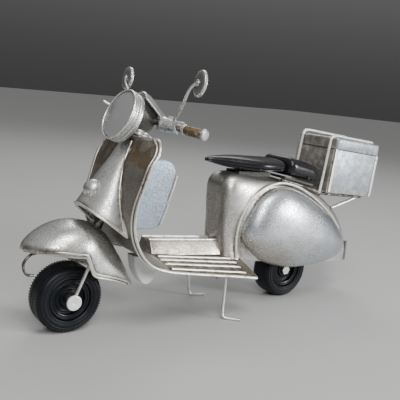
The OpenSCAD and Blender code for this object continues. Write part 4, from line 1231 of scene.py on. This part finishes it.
mirror_r = 3.65
heads, glasses, rims = Shape(), Shape(), Shape()
for side in BOTH:
    heads.add(turned([[0, 0.35], [1.4, 0.34], [2.5, 0.26], [3.1, 0.1], [3.3, -0.1],
                      [3.3, -0.5], [0, -0.5]], 0.1), mirror(side))
    rims.add(turned([[3.1, -0.05], [3.3, 0.08], [mirror_r - 0.05, -0.05], [mirror_r, -0.25],
                     [mirror_r, -0.75], [3.5, -0.92], [3.3, -0.86], [3.1, -0.5]], 0.08),
             mirror(side))
    rims.add(turned([[0, 0.3], [0.95, 0.3], [1.0, 0.5], [0.85, 0.66], [0, 0.68]], 0.1, 32),
             mirror(side))
    glasses.add(turned([[0, -0.5], [3.25, -0.5], [3.2, -0.7], [0, -0.75]], 0.08), mirror(side))
    heads.add(turned([[0, 0.6], [0.45, 0.62], [0.4, 0.85], [0, 0.92]], 0.1, 24), mirror(side))
piece("mirror_heads", heads, "steering", mirror_back, ("mirror_heads",), reach=0)
piece("mirror_rims", rims, "steering", bright_cover, reach=0)
piece("mirror_glasses", glasses, "steering", mirror_finish, ("mirror_glasses",), reach=0)

# ---------------------------------------------------------------- front end and wheels
guard = canopy(smooth(MUDGUARD, 10), 96)
lap = np.clip((40.5 - guard[:, :, 0]) / 1.2, 0, 1) * 0.18
piece("mudguard", Shape().add(sheet(guard + normals(guard) * lap[:, :, None])), "steering",
      hammered, ("mudguard",), dent=0.18, reach=0.9)
eyes = Shape()
for side in BOTH:
    eye = RAKED @ shift(0, side * FORK_Y, 0) @ turn(90, "X")
    eyes.add(turned([[1.0, -0.4], [1.7, -0.4], [1.7, 0.4], [1.0, 0.4]], 0.15, 48), eye)
piece("fork_eyes", eyes, "steering", bright_wire, reach=0)
caps = Shape()
for side in BOTH:
    caps.add(turned([[0, -0.38], [2.15, -0.38], [2.2, -0.2], [2.2, 0.25], [2.0, 0.42],
                     [0.6, 0.4], [0.4, 0.3], [0, 0.3]], 0.12, 64),
             shift(front.x, side * 6.15, wheel_r) @ turn(-90 * side, "X"))
piece("hub_caps", caps, "steering", cap_white, ("hub_caps",), reach=0)

TYRE = [[6.12, 2.9], [6.2, 3.7], [6.6, 3.98], [6.8, 3.78], [7.0, 3.8], [7.12, 4.04], [7.9, 4.1],
        [8.05, 3.9], [8.25, 3.9], [8.35, 4.07], [8.8, 3.95], [9.2, 3.62], [9.55, 3.15],
        [9.78, 2.5], [9.86, 1.5], [9.86, 1.0], [9.7, 0.85], [9.7, 0.55], [9.86, 0.4]]
HUB = [[1.06, 2.7], [2.5, 2.7], [2.7, 2.45], [2.9, 2.1], [3.6, 2.05], [3.7, 2.2], [3.9, 2.2],
       [4.0, 2.05], [4.45, 2.1], [4.6, 3.2], [5.0, 3.35], [5.12, 3.15], [5.35, 3.15],
       [5.45, 3.38], [5.9, 3.4], [6.1, 2.9]]
for label, centre in (("front", front), ("rear", rear)):
    body = f"{label}_wheel"
    for part, half, slot, finish in (("tyre", TYRE, "black_rubber", tyre_black),
                                     ("hub", HUB, "black_hub", hub_black)):
        outline = half + [[r, -y] for r, y in half[::-1]]
        piece(f"{label}_{part}", Shape().add(turned(outline, 0.1, 128), wheel(centre)), body,
              finish, (f"{label}_{part}",), reach=0)
    lugs = grown(f"{label}_tread", TREAD, bpy.data.meshes.new("tread"), {
        "Count": 72, "Radius": 9.62 * MM, "Shoulder": 2.7 * MM,
        "Lug": [0.34 * MM, 0.36 * MM, 1.0 * MM],
        "Centre": [centre.x * MM, 0, wheel_r * MM], "Finish": tyre_black})
    settle(lugs, body, ())

# ---------------------------------------------------------------- parts kept from the frame
# saddle_base and pillion_pan take the dark finish as painted shade under the seats.
KEPT = {
    "head_tube": dark_paint_and_shade, "saddle_base": dark_paint_and_shade, "pillion_pan": dark_paint_and_shade,
    "swing_arm": dark_paint_and_shade, "rear_axle": bright_wire, "stand_brackets": floor_tin,
    "steering_column": dark_wire, "lower_race": dark_wire, "handlebar": dark_wire,
    "front_axle": dark_wire,
}
for node, finish in KEPT.items():
    for slot in frame["nodes"][node].material_slots:
        slot.material = finish

# ---------------------------------------------------------------- floor, light and camera
floor_finish = Finish("studio_floor")
floor_tone = floor_finish.mix(floor_finish.grain(60, 2), (0.42, 0.42, 0.415), (0.46, 0.46, 0.455))
floor_mesh = bpy.data.meshes.new("studio_floor")
floor_mesh.from_pydata([(-3, -3, 0), (3, -3, 0), (3, 3, 0), (-3, 3, 0)], [], [(0, 1, 2, 3)])
floor_mesh.materials.append(floor_finish.done(Base_Color=floor_tone, Roughness=0.75))
linked("studio_floor", floor_mesh)

world = bpy.data.worlds.new("studio")
world.use_nodes = True
sky = world.node_tree
direction = joined(sky, "ShaderNodeTexCoord").outputs["Generated"]
height = joined(sky, "ShaderNodeSeparateXYZ", {"Vector": direction}).outputs["Z"]
tone = joined(sky, "ShaderNodeMapRange", {"Value": height, "From Min": -0.05, "From Max": 0.8,
                                          "To Min": 0.05, "To Max": 0.42},
              interpolation_type="SMOOTHSTEP")
sky.links.new(tone.outputs[0], sky.nodes["Background"].inputs["Color"])
bpy.context.scene.world = world


def softbox(name, place, size, power, colour=(1, 1, 1), aim=(0, 0, 0.035)):
    light = bpy.data.lights.new(name, "AREA")
    light.shape, light.size, light.energy, light.color = "DISK", size, power, colour
    lamp = bpy.data.objects.new(name, light)
    bpy.context.scene.collection.objects.link(lamp)
    lamp.location = place
    lamp.rotation_euler = (Vector(aim) - Vector(place)).to_track_quat("-Z", "Y").to_euler()


softbox("key", (0.08, 0.22, 0.4), 0.2, 1.15, (1, 0.99, 0.97))
softbox("side", (-0.34, 0.42, 0.14), 0.14, 2.8, (0.98, 0.99, 1))
softbox("front", (0.22, 0.36, 0.26), 0.12, 0.8)
softbox("back", (-0.2, -0.3, 0.42), 0.3, 0.8)

lens = bpy.data.cameras.new("camera")
lens.lens, lens.sensor_width, lens.clip_start = 53.18, 36, 0.005
camera = bpy.data.objects.new("camera", lens)
bpy.context.scene.collection.objects.link(camera)
azimuth, elevation, roll = (math.radians(v) for v in (143.354, 10.314, 5.389))
back = Vector((math.sin(azimuth) * math.cos(elevation), -math.cos(azimuth) * math.cos(elevation),
               math.sin(elevation)))
level = (-back).cross(Vector((0, 0, 1))).normalized()
raised = level.cross(-back)
right = math.cos(roll) * level + math.sin(roll) * raised
up = math.cos(roll) * raised - math.sin(roll) * level
facing = Matrix((right, up, back)).transposed().to_4x4()
camera.matrix_world = Matrix.Translation((0.12065, 0.15072, 0.07085)) @ facing
bpy.context.scene.camera = camera
